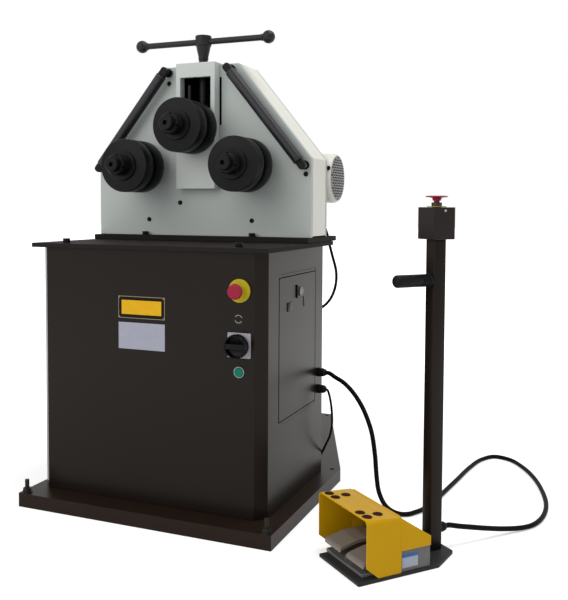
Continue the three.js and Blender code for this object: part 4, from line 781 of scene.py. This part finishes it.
low, high = Vector((-0.0262, -0.0217, -0.007)), Vector((0.0262, -0.001, 0.007))
add_block(knob, grip_bar + low, grip_bar + high, 0.0016, 3)
rim_notches = 24
for i in range(rim_notches):
    turn = Matrix.Rotation(2 * math.pi * i / rim_notches, 4, "Y")
    notch = Matrix.Translation((0.0297, knob_back - 0.0085, 0)) @ face_forward
    add_rod(knob, 10, 0.0013, 0.011, Matrix.Translation(switch_centre) @ turn @ notch)
knob = finish_mesh(knob, "switch_knob_cup", knob_black, "switch")
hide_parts("switch_knob")

# Start button: a turned and plated ring round a flat green cap of moulded plastic. When it is
# pressed, the cap's stem goes into the sleeve of the contact block behind the panel.
ring_plate = plated("satin_ring_plate", "#8a8c8c", 0.4)
start_green = moulded("green_abs", "#0f6755", "#13705d", 0.34, 0.08)
start_centre = (control_x, 0, 0.417)
start_ring = turned(
    "start_ring", ring_plate,
    along(
        panel_face, (12.2, 0), (15, 0), (15, 2.6), (14.1, 4), (12.8, 4), (12.2, 3.4), way=-1
    ),
    start_centre, "y",
)
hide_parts("start_bezel")
contact_block("start_contact_block", start_centre, 10.4)
start_cap = turned(
    "start_cap", start_green,
    along(
        panel_face, (0, 0.5), (10, 0.5), (10, 3.3), (11.8, 3.3), (11.8, 5.3), (11, 6), (0, 5.8),
        way=-1,
    ),
    start_centre, "y", 40, "start",
)
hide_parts("start_button")

# Name plate: a thin pressed plate with a bright rim, a black border and a bare yellow field, held
# by four rivets. Under it a bare pale plate with a grey-blue ground. Both are without words.
rim_metal = plated("pressed_plate_rim", "#857b66", 0.4)
black_print = moulded("black_plate_print", "#0a0605", "#100a08", 0.35, 0.08)
yellow_print = moulded("yellow_plate_print", "#d09a14", "#d9ab22", 0.35, 0.08)
pale_print = moulded("pale_plate_print", "#9495a3", "#9e9fab", 0.42, 0.15)
panel_skin = -0.2032
for name, material, slot, proud, low_x, high_x, low_z, high_z in (
    ("name_plate_rim", rim_metal, "zinc_plate", 0.0007, -0.0825, 0.0600, 0.5365, 0.5955),
    ("name_plate_border", black_print, "black_plastic", 0.0010, -0.0811, 0.0586, 0.5379, 0.5941),
    ("name_plate_field", yellow_print, "yellow_plastic", 0.0013, -0.0722, 0.0498, 0.5470, 0.5850),
    ("white_plate", pale_print, "grey_plastic", 0.0008, -0.0822, 0.0600, 0.4535, 0.5250),
):
    layer = block((low_x, panel_skin - proud, low_z), (high_x, panel_skin, high_z), 0.00015, 1)
    finish_mesh(layer, name, material)
plate_rivets = bmesh.new()
for x in (-0.0787, 0.0562):
    for z in (0.5403, 0.5917):
        add_button_screw(plate_rivets, (x, panel_skin - 0.0010, z), 0.0019, 0.0009, face_forward)
finish_mesh(plate_rivets, "name_plate_rivets", rim_metal)

# Head plates: laser-cut steel plate 15 mm thick in pale grey enamel. The rear plate's inner face,
# the inside of the guide bolted to the front plate and a slit at the guide's right side are near
# black: painted shade inside the head.
pale_enamel = enamel("pale_grey_enamel", "#adb4b1", "#b7bcb8", 0.42, 0.12, 0.06)
dress("head_front_plate", pale_enamel, 0.0012)
rear_enamel_painted_shade = enamel(
    "pale_grey_rear_enamel_painted_shade", "#a6aeab", "#b1b6b2", 0.42, 0.12, 0.06,
    # Near black over the rear plate's inner face: painted shade.
    other="#0c0c0c", other_boxes=[((-0.36, 0.2355, 0.74), (0.36, 0.2365, 1.26))],
)
dress("head_rear_plate", rear_enamel_painted_shade, 0.0012)
guide_enamel_painted_shade = enamel(
    "pale_grey_guide_enamel_painted_shade", "#bbc0bd", "#c3c7c3", 0.40, 0.12, 0.06,
    # Near black inside the guide and along the slit at its right side: painted shade.
    other="#060606",
    other_boxes=[
        ((-0.0512, 0.108, 0.95), (0.0512, 0.2, 1.2445)),
        ((0.0635, 0.1115, 1.0755), (0.0712, 0.2, 1.2165)),
    ],
)
dress("slide_frame", guide_enamel_painted_shade, 0.0012)

# Head cover: a folded sheet over the gear train, between the two plates, in off-white enamel.
# Its edges have the small round of folded sheet.
cream_enamel = enamel("off_white_enamel", "#d3d3ca", "#dbdbd1", 0.40, 0.12, 0.06)
dress("head_cover", cream_enamel, 0.0010)

# Slide block and gears: machined steel, coloured dark grey as painted shade. The slide block
# shows in the guide's window, with its guide pin on top.
machined = black_oxide("machined_steel_painted_shade", colours=("#232526", "#2e3031"))
dress("slide_block", machined, 0.0006)
for name in ("gear_left", "gear_right", "drive_pinion"):
    dress(name, machined, 0.0005)

# Feed screw: turned steel with a trapezoidal thread, a thick neck and a tapered hub. It carries
# the slide block on the step at its lower end, and the ball-end bar through the hub.
screw_y = 0.132
screw_low, screw_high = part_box("feed_screw")
thread_low = 1.1179
thread_high = 1.2685
thread_pitch = 0.005
screw_profile = along(screw_low.z, (0, 0), (8.4, 0), (9, 0.6))
screw_profile += along(thread_low, (9, 0), (12.9, 0))
for i in range(int((thread_high - thread_low - 0.004) / thread_pitch)):
    start = thread_low + 0.003 + i * thread_pitch
    screw_profile += along(start, (13.5, 0), (11.9, 0.9), (11.9, 2.2), (13.5, 3.1))
screw_profile += along(
    1.2725, (13.5, 0), (14.4, 0), (15, 0.8), (15, 10), (15.8, 12.5), (21.5, 39), (22.2, 40.1),
    (23.6, 41.1), (24.2, 42.7),
)
screw_profile += along(screw_high.z, (24.2, -3), (22.8, -1.5), (0, -1.5))
screw_steel = black_oxide(
    "black_oxide_screw", (0, screw_y, 0), "z", ("#111012", "#1d1c1e"), 0.22
)
screw = turned(
    "feed_screw_turned", screw_steel, screw_profile, (0, screw_y, 0), "z", 64,
    "feed",
)
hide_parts("feed_screw")

# Ball-end bar: a ground steel bar pushed through the hub, with a turned ball screwed on each end.
# All black oxide.
bar_z = 1.326
bar_radius = 0.009
ball_radius = 0.019
ball_neck = 0.0105
ball_x = 0.211
ball_steps = 14
neck_angle = math.asin(ball_neck / ball_radius)
bar_profile = [(0, -ball_x - ball_radius)]
for i in range(1, ball_steps):
    angle = (math.pi - neck_angle) * i / ball_steps
    bar_profile.append((ball_radius * math.sin(angle), -ball_x - ball_radius * math.cos(angle)))
bar_profile += [
    (ball_neck, -ball_x + ball_radius * math.cos(neck_angle)),
    (ball_neck, -ball_x + ball_radius + 0.002),
    (bar_radius, -ball_x + ball_radius + 0.003),
]
bar_profile += [(r, -a) for r, a in reversed(bar_profile)]
bar_steel = black_oxide("black_oxide_bar", colours=("#131314", "#201f22"), gloss=0.22)
bar = turned(
    "ball_end_bar", bar_steel, bar_profile, (0, screw_y, bar_z), "x", 48, "feed"
)
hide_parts("handle_bar")


# Rolls: each is a front disc with a stepped boss and a rear disc with the groove's core, on one
# shaft with a slotted round nut. Turned steel in hot black oxide, with lathe rings on the faces.
def carve(piece, cutter):
    """Cuts a shape out of a piece and keeps the result in its mesh."""
    tool_data = mesh_data(cutter, "tool")
    tool = add_object("tool", tool_data)
    cut = piece.modifiers.new("cut", "BOOLEAN")
    cut.operation = "DIFFERENCE"
    cut.solver = "EXACT"
    cut.object = tool
    bpy.context.view_layer.update()
    shown = piece.evaluated_get(bpy.context.evaluated_depsgraph_get())
    carved = bpy.data.meshes.new_from_object(shown)
    piece.modifiers.remove(cut)
    old = piece.data
    piece.data = carved
    carved.name = piece.name
    bpy.data.meshes.remove(old)
    bpy.data.objects.remove(tool)
    bpy.data.meshes.remove(tool_data)
    piece.data.set_sharp_from_angle(angle=crease)


def disc_rim(radius, start, end):
    """A disc's outer edge between its two faces, with both corners softly turned off."""
    soft = ((-0.0028, 0), (-0.0009, 0.0006), (0, 0.0025))
    first = [(radius + r, start + a) for r, a in soft]
    return first + [(radius + r, end - a) for r, a in reversed(soft)]


roll_bore = 20.3
shaft_turn = math.radians(14)
for side in ("left", "right", "top"):
    front_low, front_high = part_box("roll_front_" + side)
    rear_low, rear_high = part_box("roll_rear_" + side)
    shaft_low, shaft_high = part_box("roll_shaft_" + side)
    nut_low, nut_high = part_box("shaft_nut_" + side)
    radius = (front_high.z - front_low.z) / 2
    centre = ((front_low.x + front_high.x) / 2, 0, (front_low.z + front_high.z) / 2)
    at_centre = Matrix.Translation(centre)
    roll_steel = black_oxide("black_oxide_roll_" + side, centre)
    body = side + "_roll"
    front_profile = along(
        front_low.y, (roll_bore, 0), (42.5, 0), (44, 1.5), (44, 9.2), (45.5, 10)
    )
    front_profile += disc_rim(radius, front_low.y + 0.010, front_high.y)
    front_profile += along(front_high.y, (roll_bore, 0))
    front = turned(
        "roll_disc_front_" + side, roll_steel, front_profile, centre, "y", 96, body
    )
    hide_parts("roll_front_" + side)
    rear_profile = along(rear_low.y, (roll_bore, 0), (40, 0), (40, 21.7), (42, 23.7))
    rear_profile += disc_rim(radius, rear_low.y + 0.0237, rear_high.y)
    rear_profile += along(rear_high.y, (roll_bore, 0))
    rear = turned(
        "roll_disc_rear_" + side, roll_steel, rear_profile, centre, "y", 96, body
    )
    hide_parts("roll_rear_" + side)
    nut_profile = along(nut_low.y, (roll_bore, 0), (27.5, 0), (29.5, 2), (29.5, 20), (30, 21))
    nut_profile += along(nut_high.y, (30, -1), (29, 0), (roll_bore, 0))
    nut = turned(
        "slotted_nut_" + side, roll_steel, nut_profile, centre, "y", 64, body
    )
    slots = bmesh.new()
    for quarter in range(4):
        turn = Matrix.Rotation(math.radians(90 * quarter) + shaft_turn, 4, "Y")
        slot = at_centre @ turn @ Matrix.Translation((0, nut_low.y, 0.030))
        add_cube(slots, slot, (0.007, 0.018, 0.008))
    carve(nut, slots)
    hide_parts("shaft_nut_" + side)
    shaft_profile = along(shaft_low.y, (0, 0), (19, 0), (20, 1)) + along(0, (20, 70.3), (25, 70.3))
    end_radius = 25
    if side != "top":
        shaft_profile += along(0, (25, 202.7), (21, 202.7), (21, 228.3), (18, 228.3))
        end_radius = 18
    shaft_profile += along(shaft_high.y, (end_radius, -1), (end_radius - 1, 0), (0, 0))
    shaft = turned(
        "roll_shaft_turned_" + side, roll_steel, shaft_profile, centre, "y", 64,
        body,
    )
    socket = bmesh.new()
    turn = Matrix.Rotation(shaft_turn, 4, "Y")
    add_cube(
        socket, at_centre @ turn @ Matrix.Translation((0, shaft_low.y, 0)), (0.012, 0.024, 0.012)
    )
    carve(shaft, socket)
    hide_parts("roll_shaft_" + side)

# Gearbox: a cast housing bolted to the rear plate, in the head's grey enamel, with cover bolts.
# Dark button screws hold the rear plate itself.
dress("gearbox", pale_enamel, 0.0020, 3)
gearbox_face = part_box("gearbox")[1].y
gearbox_bolts = bmesh.new()
for x in (-0.060, 0.060):
    for z in (0.872, 0.955, 1.038):
        add_hex_bolt(gearbox_bolts, (x, gearbox_face, z), 0.0072, 0.006, face_back)
finish_mesh(gearbox_bolts, "gearbox_bolts", bright_plate)
rear_bolts = bmesh.new()
rear_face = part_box("head_rear_plate")[1].y
for x, z in ((0.330, 0.770), (0.330, 0.950), (0.110, 1.230)):
    for way in (-1, 1):
        add_button_screw(rear_bolts, (way * x, rear_face, z), 0.0065, 0.0045, face_back)
finish_mesh(rear_bolts, "rear_plate_screws", black_steel)

# Motor: a finned barrel in off-white enamel with a terminal box below, and a black moulded fan on
# its shaft.
dress("motor", cream_enamel, 0.0008)
dress("motor_fan", moulded_black, 0.0006)
motor_y = 0.325
box_x = 0.215
lid_screws = bmesh.new()
lid_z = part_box("motor")[0].z
face_down = Matrix.Rotation(math.radians(180), 4, "X")
for x in (-0.030, 0.030):
    for y in (-0.030, 0.030):
        add_button_screw(
            lid_screws, (box_x + x, motor_y + y, lid_z), 0.0035, 0.0022, face_down
        )
finish_mesh(lid_screws, "terminal_box_screws", bright_plate)

# Fan cover: a pressed steel cup over the motor's end, pale outside, with a near-black lining
# inside that is painted shade, and an end grille in a darker grey, also painted shade, punched
# with rows of short slots. One dark screw holds it at the side.
cover_radius = 0.0755
cover_bend = 0.018
cover_sheet = 0.0018
cover_start = 0.3003
cover_end = 0.3650
cover_centre = Vector((0, motor_y, 0.924))
cover_profile = [(cover_radius - 0.002, cover_start), (cover_radius, cover_start)]
for i in range(6):
    angle = math.radians(10 * i)
    cover_profile.append((
        cover_radius - cover_bend + cover_bend * math.cos(angle),
        cover_end - 0.0175 + cover_bend * math.sin(angle),
    ))
cover_profile += [(r - cover_sheet, a) for r, a in reversed(cover_profile[1:])]
fan_cup = turned("fan_cover_cup", cream_enamel, cover_profile, cover_centre, "x", 96)
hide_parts("fan_cover")
grille_radius = cover_radius - 0.0077
# The grille's grey, darker than the cup's enamel, is painted shade.
grille_painted_shade = enamel("grille_enamel_painted_shade", "#838180", "#8d8b8a", 0.45, 0.15)
dome_steps = 8
grille_dome = []
for i in range(dome_steps + 1):
    share = i / dome_steps
    grille_dome.append((grille_radius * share, cover_end + 0.0006 - 0.0040 * share ** 4))
grille_dome += [(r, a - cover_sheet) for r, a in reversed(grille_dome)]
grille = turned("fan_grille", grille_painted_shade, grille_dome, cover_centre, "x", 96)
slot_size = (0.02, 0.0128, 0.0044)
slot_row_pitch = 0.0078
slot_column_pitch = 0.0165
slot_cutter = bmesh.new()
for row in range(-8, 9):
    z = row * slot_row_pitch
    for column in range(-4, 5):
        y = (column + (0.5 if row % 2 else 0)) * slot_column_pitch
        if math.hypot(abs(y) + 0.0064, abs(z) + 0.0022) < grille_radius - 0.0015:
            slot = Matrix.Translation(cover_centre + Vector((cover_end, y, z)))
            add_cube(slot_cutter, slot, slot_size)
carve(grille, slot_cutter)
# A near-black lining inside the cup, seen through the slots: painted shade.
lining_painted_shade = sheathing("cover_lining_painted_shade", "#0a0a0a", "#121212", 0.7, 0.1)
turned(
    "fan_cover_lining_painted_shade", lining_painted_shade,
    along(0, (8.5, 306), (72.9, 306), (72.9, 345), (71.9, 345), (71.9, 307.5), (8.5, 307.5)),
    cover_centre, "x", 64,
)
cover_screw = bmesh.new()
screw_lean = math.atan2(0.028, 0.070)
out = Vector((0, -math.cos(screw_lean), math.sin(screw_lean))) * (cover_radius - 0.0005)
lean = Matrix.Rotation(math.radians(90) - screw_lean, 4, "X")
add_button_screw(cover_screw, cover_centre + Vector((0.3545, 0, 0)) + out, 0.0072, 0.0040, lean)
finish_mesh(cover_screw, "fan_cover_screw", black_steel)

# Side guide bars: a black round bar with a drawn, streaky skin and flattened ends, on two studs
# with a washer and a collar each against the front plate.
side_bar_y = 0.080
side_high = Vector((0.1045, side_bar_y, 1.236))
side_low = Vector((0.335, side_bar_y, 0.954))
bar_run = (side_low - side_high).length
sleeve_half = along(
    0, (0, 13), (12.8, 13), (15, 14.4), (15.5, 16), (15.5, 20), (14.9, 20.6), (14.9, 21.8),
    (15.5, 22.4),
)
sleeve_profile = sleeve_half + [(r, bar_run - a) for r, a in reversed(sleeve_half)]
stud_profile = along(side_bar_y, (0, 0), (8, 0)) + along(
    head_front_y, (8, -8.3), (11.2, -8.3), (12, -7.5), (12, -0.3), (0, -0.3)
)
washer_profile = along(
    head_front_y, (8.2, -10), (12.8, -10), (13.2, -9.6), (13.2, -8.6), (8.2, -8.6)
)
for side, way in (("left", -1), ("right", 1)):
    tilt = math.atan2(way * (side_low.x - side_high.x), side_low.z - side_high.z)
    bar_top = Matrix.Translation((way * side_high.x, side_bar_y, side_high.z))
    bar_place = bar_top @ Matrix.Rotation(tilt, 4, "Y")
    streaky, shader, at = start_material("streaky_black_bar_" + side, 0.35)
    squared = add_node(streaky, "ShaderNodeMapping", {"Vector": at, "Rotation": (0, -tilt, 0)})
    drawn = {"Vector": squared.outputs["Vector"], "Scale": (260.0, 260.0, 26.0)}
    drawn = add_node(streaky, "ShaderNodeMapping", drawn).outputs["Vector"]
    streaks = noise(streaky, drawn, 1.0, 4.0)
    shader.inputs["Metallic"].default_value = 0.2
    shine(streaky, shader, streaks, 0.34, 0.56)
    shade = mixed(streaky, streaks, linear("#0e0d10"), linear("#232127"))
    skin(streaky, shader, shade, noise(streaky, at, 220.0, 3.0), 0.5, 0.0008)
    sleeve = finish_mesh(
        spin_profile(sleeve_profile), "side_bar_sleeve_" + side, streaky,
        place=bar_place,
    )
    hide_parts("side_bar_" + side)
    tangs = bmesh.new()
    for outer, inner in ((-0.013, 0.0152), (bar_run + 0.013, bar_run - 0.0152)):
        middle = Matrix.Translation((0, 0, (outer + inner) / 2))
        made = add_cube(tangs, middle, (0.0225, 0.0150, abs(outer - inner)))
        corners = [
            e for e in edges_of(made)
            if all(abs(v.co.z - outer) < 1e-5 for v in e.verts)
            and abs(e.verts[0].co.y - e.verts[1].co.y) > 0.01
        ]
        round_edges(tangs, corners, 0.0085, 5)
    tangs = finish_mesh(
        tangs, "side_bar_tangs_" + side, black_steel, place=bar_place
    )
    soften(tangs, 0.0008, angle=50)
    studs = bmesh.new()
    washers = bmesh.new()
    for point in (side_high, side_low):
        stud_centre = (way * point.x, 0, point.z)
        spin_profile(stud_profile, stud_centre, "y", 40, studs)
        spin_profile(washer_profile, stud_centre, "y", 40, washers)
    finish_mesh(studs, "side_bar_studs_" + side, black_steel)
    finish_mesh(washers, "side_bar_washers_" + side, black_steel)


# Cable glands: black moulded nylon, a hexagon against the wall and a domed ribbed nut that grips
# the cord.
def cable_gland(name, node, place, wall, share=1.0):
    """A gland that stands along +Z of `place` from the wall's face."""
    hexagon = 0.008 - seat
    end = 0.024 * share
    profile = along(-wall, (0, -5.3), (9 * share, -5.3))
    profile += along(0, (9 * share, 1), (11.7 * share, 1))
    profile += along(
        end, (11.7 * share, -8.5), (11.2 * share, -6), (10 * share, -2.8), (8.4 * share, -0.6),
        (7.8 * share, 0), (0, 0),
    )
    mesh = bmesh.new()
    middle = Matrix.Translation((0, 0, seat + hexagon / 2))
    round_edges(mesh, edges_of(add_rod(mesh, 6, 0.014 * share, hexagon, middle)), 0.0009)
    spin_profile(profile, steps=40, mesh=mesh)
    for i in range(12):
        out = Matrix.Translation((0.0117 * share, 0, 0.0115 * share))
        rib = Matrix.Rotation(math.radians(30 * i), 4, "Z") @ out
        add_cube(mesh, rib, (0.0014, 0.0022, 0.0078 * share))
    gland = finish_mesh(mesh, name, moulded_black, place=place)
    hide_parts(node)


side_sheet = 0.003
post_sheet = 0.002
post_half = 0.017
for name, node, z in (
    ("upper_cable_gland", "gland_upper", upper_gland_z),
    ("lower_cable_gland", "gland_lower", lower_gland_z),
):
    side_hole = Matrix.Translation((door_face, gland_y, z))
    cable_gland(name, node, side_hole @ face_right, side_sheet)
back_hole = Matrix.Translation((0.290, 0.2418, 0.515))
cable_gland("rear_cable_gland", "gland_rear", back_hole @ face_back, side_sheet, 0.8)
post_hole = pedestal_place @ Matrix.Translation((0, post_half, pedestal_gland_z))
cable_gland("pedestal_cable_gland", "pedestal_gland", post_hole @ face_back, post_sheet)


# Pedestal: a foot plate, a square post welded to it and a box on top, in dark enamel like the
# cabinet's. A pale screw closes the box at its side.
def on_pedestal(mesh, name, material, body="machine"):
    """Finishes a mesh that is drawn in the pedestal's own frame."""
    return finish_mesh(mesh, name, material, body, pedestal_place)


dress("pedestal_base", enamel("worn_dark_enamel", "#2a2929", "#353434", 0.5, 0.06), 0.0012)
post = block((-post_half, -post_half, 0.0083), (post_half, post_half, 0.7640), 0.0020, 3)
post = on_pedestal(post, "square_post", dark_enamel)
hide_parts("pedestal_post")
dress("pedestal_box", enamel("box_dark_enamel", "#1e1815", "#231d1b", 0.24, 0.13), 0.0014, 3)
box_screw = bmesh.new()
box_half = 0.0312
add_button_screw(box_screw, (box_half, 0.0019, 0.8285), 0.0030, 0.0020, face_right)
pale_screw = moulded("pale_nylon_screw", "#b5b3a4", "#c0beb0", 0.4)
on_pedestal(box_screw, "pedestal_box_screw", pale_screw)

# Pedestal emergency stop: a thin yellow disc, a dark collar, and a wide flat red mushroom on a
# red neck.
box_top = 0.8372
tower_plate = spin_profile(
    along(box_top, (7.7, 0), (22.2, 0), (23, 0.6), (23, 1.6), (22.2, 2.1), (7.7, 2.1)), steps=56
)
tower_plate = on_pedestal(tower_plate, "pedestal_stop_disc", stop_yellow)
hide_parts("pedestal_estop_base")
collar_dark = moulded("dark_brown_collar", "#1b100a", "#22160f", 0.4)
tower_collar = spin_profile(
    along(box_top, (7.7, 2.1), (12.5, 2.1), (12.5, 10.2), (11.7, 11), (7.7, 11)), steps=40
)
on_pedestal(tower_collar, "pedestal_stop_collar", collar_dark)
tower_contacts = spin_profile(
    along(box_top, (7.7, -5.2), (10.8, -5.2), (10.8, 0), (7.7, 0)), steps=32
)
add_block(tower_contacts, (-0.015, -0.021, 0.8006), (0.015, 0.021, 0.8330), 0.0012)
on_pedestal(tower_contacts, "pedestal_contact_block", contact_grey)
tower_head = spin_profile(
    along(
        box_top, (0, 2.5), (7, 2.5), (7, 15.3), (10, 15.3), (10.4, 19.3), (12.5, 21.4),
        (17, 22.8), (24.5, 23.5), (26.2, 24), (26.8, 24.9), (26.2, 25.9), (24.5, 26.6),
        (20, 27.1), (10, 27.3), (0, 27.3),
    ),
    steps=72,
)
tower_head = on_pedestal(
    tower_head, "pedestal_stop_head", stop_red, "pedestal_stop"
)
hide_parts("pedestal_estop_button")

# Pedestal grip: a black rubber sleeve with a rounded end and a flanged, ribbed root, pushed on
# a stub of the post.
grip_rubber = sheathing("black_grip_rubber", "#0a0a0b", "#131214", 0.5, 0.10)
grip_z = 0.663
grip_radius = 0.0152
grip_end = -0.1190
end_round = 0.0080
grip_profile = along(
    0, (0, 17.2), (16.8, 17.2), (17.5, 17.8), (17.5, 22.2), (16.8, 23), (15.2, 23.6), way=-1
)
for i in range(5):
    start = -0.0246 - i * 0.0042
    grip_profile += along(start, (15.2, 0), (15.2, 2.2), (14.1, 2.8), (14.1, 3.6), way=-1)
grip_profile.append((grip_radius, -0.0466))
for i in range(10):
    angle = math.radians(10 * i)
    grip_profile.append((
        grip_radius - end_round * (1 - math.cos(angle)),
        grip_end + end_round * (1 - math.sin(angle)),
    ))
grip_profile.append((0, grip_end))
grip = spin_profile(grip_profile, (0, 0, grip_z), "y")
grip = on_pedestal(grip, "pedestal_grip_sleeve", grip_rubber)
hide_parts("pedestal_grip")

# Foot switch: a cast grey body with its tray, in hammered enamel, and two treadles hinged on a
# pin. A bare label is stuck on the body's side, and a thin rod stands between the treadles.
tray_enamel = enamel("hammered_grey_body_enamel", "#666567", "#706f71", 0.45, 0.12, 0.25)
dress("pedal_body", tray_enamel, 0.0012)
pedal_enamel = enamel("hammered_grey_enamel", "#7a716a", "#847c75", 0.45, 0.12, 0.25)
for name in ("pedal_left", "pedal_right"):
    dress(name, pedal_enamel, 0.0016, 3)
label_print = moulded("pale_label_print", "#98a3b3", "#a3adbc", 0.4, 0.1)
label = block((0.0770, -0.1425, 0.0165), (0.0777, -0.0985, 0.0475), 0.0002, 1)
on_pedestal(label, "foot_switch_label", label_print)
band_print = moulded("blue_label_print", "#3d5f9a", "#4568a3", 0.4, 0.1)
band = block((0.0774, -0.1425, 0.0405), (0.0779, -0.0985, 0.0475), 0.0001, 1)
on_pedestal(band, "foot_switch_label_band", band_print)
tray_rim = bmesh.new()
for low_x, high_x, low_y, high_y in (
    (-0.096, 0.062, -0.2400, -0.2375),
    (-0.096, -0.0935, -0.2380, -0.1450),
    (0.0595, 0.062, -0.2380, -0.1450),
):
    add_block(tray_rim, (low_x, low_y, 0.0135), (high_x, high_y, 0.0160), 0.0005)
worn_steel = plated("worn_bare_edge", "#83827f", 0.4)
on_pedestal(tray_rim, "tray_rim", worn_steel)
thin_rod = spin_profile(
    along(0, (0, 13.5), (1.3, 13.5), (1.3, 30.5), (0.8, 31), (0, 31)), (-0.014, -0.235, 0),
    steps=16,
)
on_pedestal(thin_rod, "treadle_stop_rod", worn_steel)


# Guard over the treadles: folded sheet steel in golden yellow enamel, a round bend along each
# upper edge, with a folded seam where the hood meets the lower tail, a flap behind, a skirt at
# the left, and dark brown plugs in its six holes, whose colour is painted shade of the holes.
def guard_top(y):
    """The height of the guard's sloping top."""
    return 0.143 - 0.007 * (y + 0.240) / 0.090


guard_enamel = enamel("golden_yellow_enamel", "#bd8f05", "#c69a0b", 0.38, 0.08, 0.08)
dress("pedal_guard", guard_enamel, 0.0006)
guard_left = -0.134
guard_right = 0.080
guard_round = 0.012
guard_step_z = 0.059
seam_half = 0.0030
seam_y = -0.1475
bend_z = guard_top(seam_y) - guard_round
seam_points = [(guard_right, guard_step_z)]
for bend_x, start in ((guard_right - guard_round, 0), (guard_left + guard_round, 90)):
    for i in range(7):
        angle = math.radians(start + 15 * i)
        across, up = guard_round * math.cos(angle), guard_round * math.sin(angle)
        seam_points.append((bend_x + across, bend_z + up))
seam_points.append((guard_left, guard_step_z))
seam = bmesh.new()
seam_path = [seam.verts.new((x, seam_y - seam_half, z)) for x, z in seam_points]
seam_edges = [seam.edges.new(pair) for pair in zip(seam_path, seam_path[1:])]
swept = bmesh.ops.extrude_edge_only(seam, edges=seam_edges)["geom"]
swept = [v for v in swept if isinstance(v, bmesh.types.BMVert)]
bmesh.ops.translate(seam, vec=(0, 2 * seam_half, 0), verts=swept)
seam = on_pedestal(seam, "guard_seam", guard_enamel)
seam_wall = seam.modifiers.new("wall", "SOLIDIFY")
seam_wall.thickness = 0.0016
seam_wall.offset = 0.0
soften(seam, 0.0004)
plugs = bmesh.new()
for middle in (-0.0975, 0.040):
    for shift, y in ((-0.0145, -0.224), (0.0145, -0.224), (0.0045, -0.189)):
        plug_profile = along(
            guard_top(y), (0, -2.6), (9.2, -2.6), (9.2, 0.2), (11.8, 0.2), (11.8, 0.8),
            (10.8, 1.4), (6, 1.6), (5, 0.8), (0, 0.8),
        )
        spin_profile(plug_profile, (middle + shift, y, 0), "z", 32, plugs)
# The plugs' dark red-brown stands for the shade in the holes: painted shade.
plug_painted_shade = sheathing("guard_plugs_painted_shade", "#241006", "#33180c", 0.6, 0.05)
on_pedestal(plugs, "guard_hole_plugs_painted_shade", plug_painted_shade)
flap = block((-0.1312, -0.0685, 0.0645), (0.0772, -0.0665, 0.0785), 0.0004)
on_pedestal(flap, "guard_back_flap", guard_enamel)
skirt = block((-0.1340, -0.1465, 0.0086), (-0.1317, -0.0665, 0.0584), 0.0004)
on_pedestal(skirt, "guard_left_skirt", guard_enamel)

# Studio: a plain pale floor that shows white with a soft shadow, white all round for the camera,
# a large soft key light from the front left and a second one high above.
floor_half = 30
floor_mesh = bmesh.new()
bmesh.ops.create_grid(floor_mesh, x_segments=1, y_segments=1, size=floor_half)
floor_data = mesh_data(floor_mesh, "floor")


def shown_rays(material):
    """1 for the rays that show the background: camera, glossy and transmission rays."""
    ray = add_node(material, "ShaderNodeLightPath")
    shown = ray.outputs["Is Camera Ray"]
    for name in ("Is Glossy Ray", "Is Transmission Ray"):
        shown = reckon(material, "MAXIMUM", shown, ray.outputs[name])
    return shown


floor_material, floor_shader, floor_place = start_material("pale_floor", 0.0)
floor_shader.inputs["Base Color"].default_value = linear("#f4f4f4")
floor_shader.inputs["Roughness"].default_value = 0.9
floor_shader.inputs["Emission Color"].default_value = (1, 1, 1, 1)
reach = add_node(floor_material, "ShaderNodeVectorMath", {0: floor_place}, operation="LENGTH")
level = add_node(floor_material, "ShaderNodeMapRange", {
    "Value": reach.outputs["Value"],
    "From Min": 0.9, "From Max": 2.5,
    "To Min": 0.38, "To Max": 1.0,
})
glow = reckon(floor_material, "MULTIPLY", shown_rays(floor_material), level.outputs["Result"])
join(floor_material, glow, floor_shader.inputs["Emission Strength"])
floor_data.materials.append(floor_material)
floor = add_object("floor", floor_data)
floor.location.z = -0.0005
floor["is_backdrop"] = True

world = bpy.data.worlds.new("studio")
bpy.context.scene.world = world
world.use_nodes = True
world.node_tree.nodes.clear()
white = add_node(world, "ShaderNodeBackground", {"Strength": 1.0, "Color": (1, 1, 1, 1)})
dim = add_node(world, "ShaderNodeBackground", {"Strength": 0.56, "Color": (1, 1, 1, 1)})
blend = add_node(
    world, "ShaderNodeMixShader", {0: shown_rays(world), 1: dim.outputs[0], 2: white.outputs[0]}
)
add_node(world, "ShaderNodeOutputWorld", {"Surface": blend.outputs[0]})

for name, place, aim, size, power in (
    ("key", (-1.3, -3.1, 2.6), (0, 0, 0.8), 3.4, 76),
    ("top", (1.3, 0.2, 4.2), (0.1, 0, 0.9), 1.8, 74),
):
    light = bpy.data.lights.new(name, "AREA")
    light.size = size
    light.energy = power
    lamp = add_object(name, light)
    lamp.location = place
    lamp.rotation_euler = (Vector(aim) - Vector(place)).to_track_quat("-Z", "Y").to_euler()

bpy.context.scene.view_settings.view_transform = "Standard"

low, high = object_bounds()
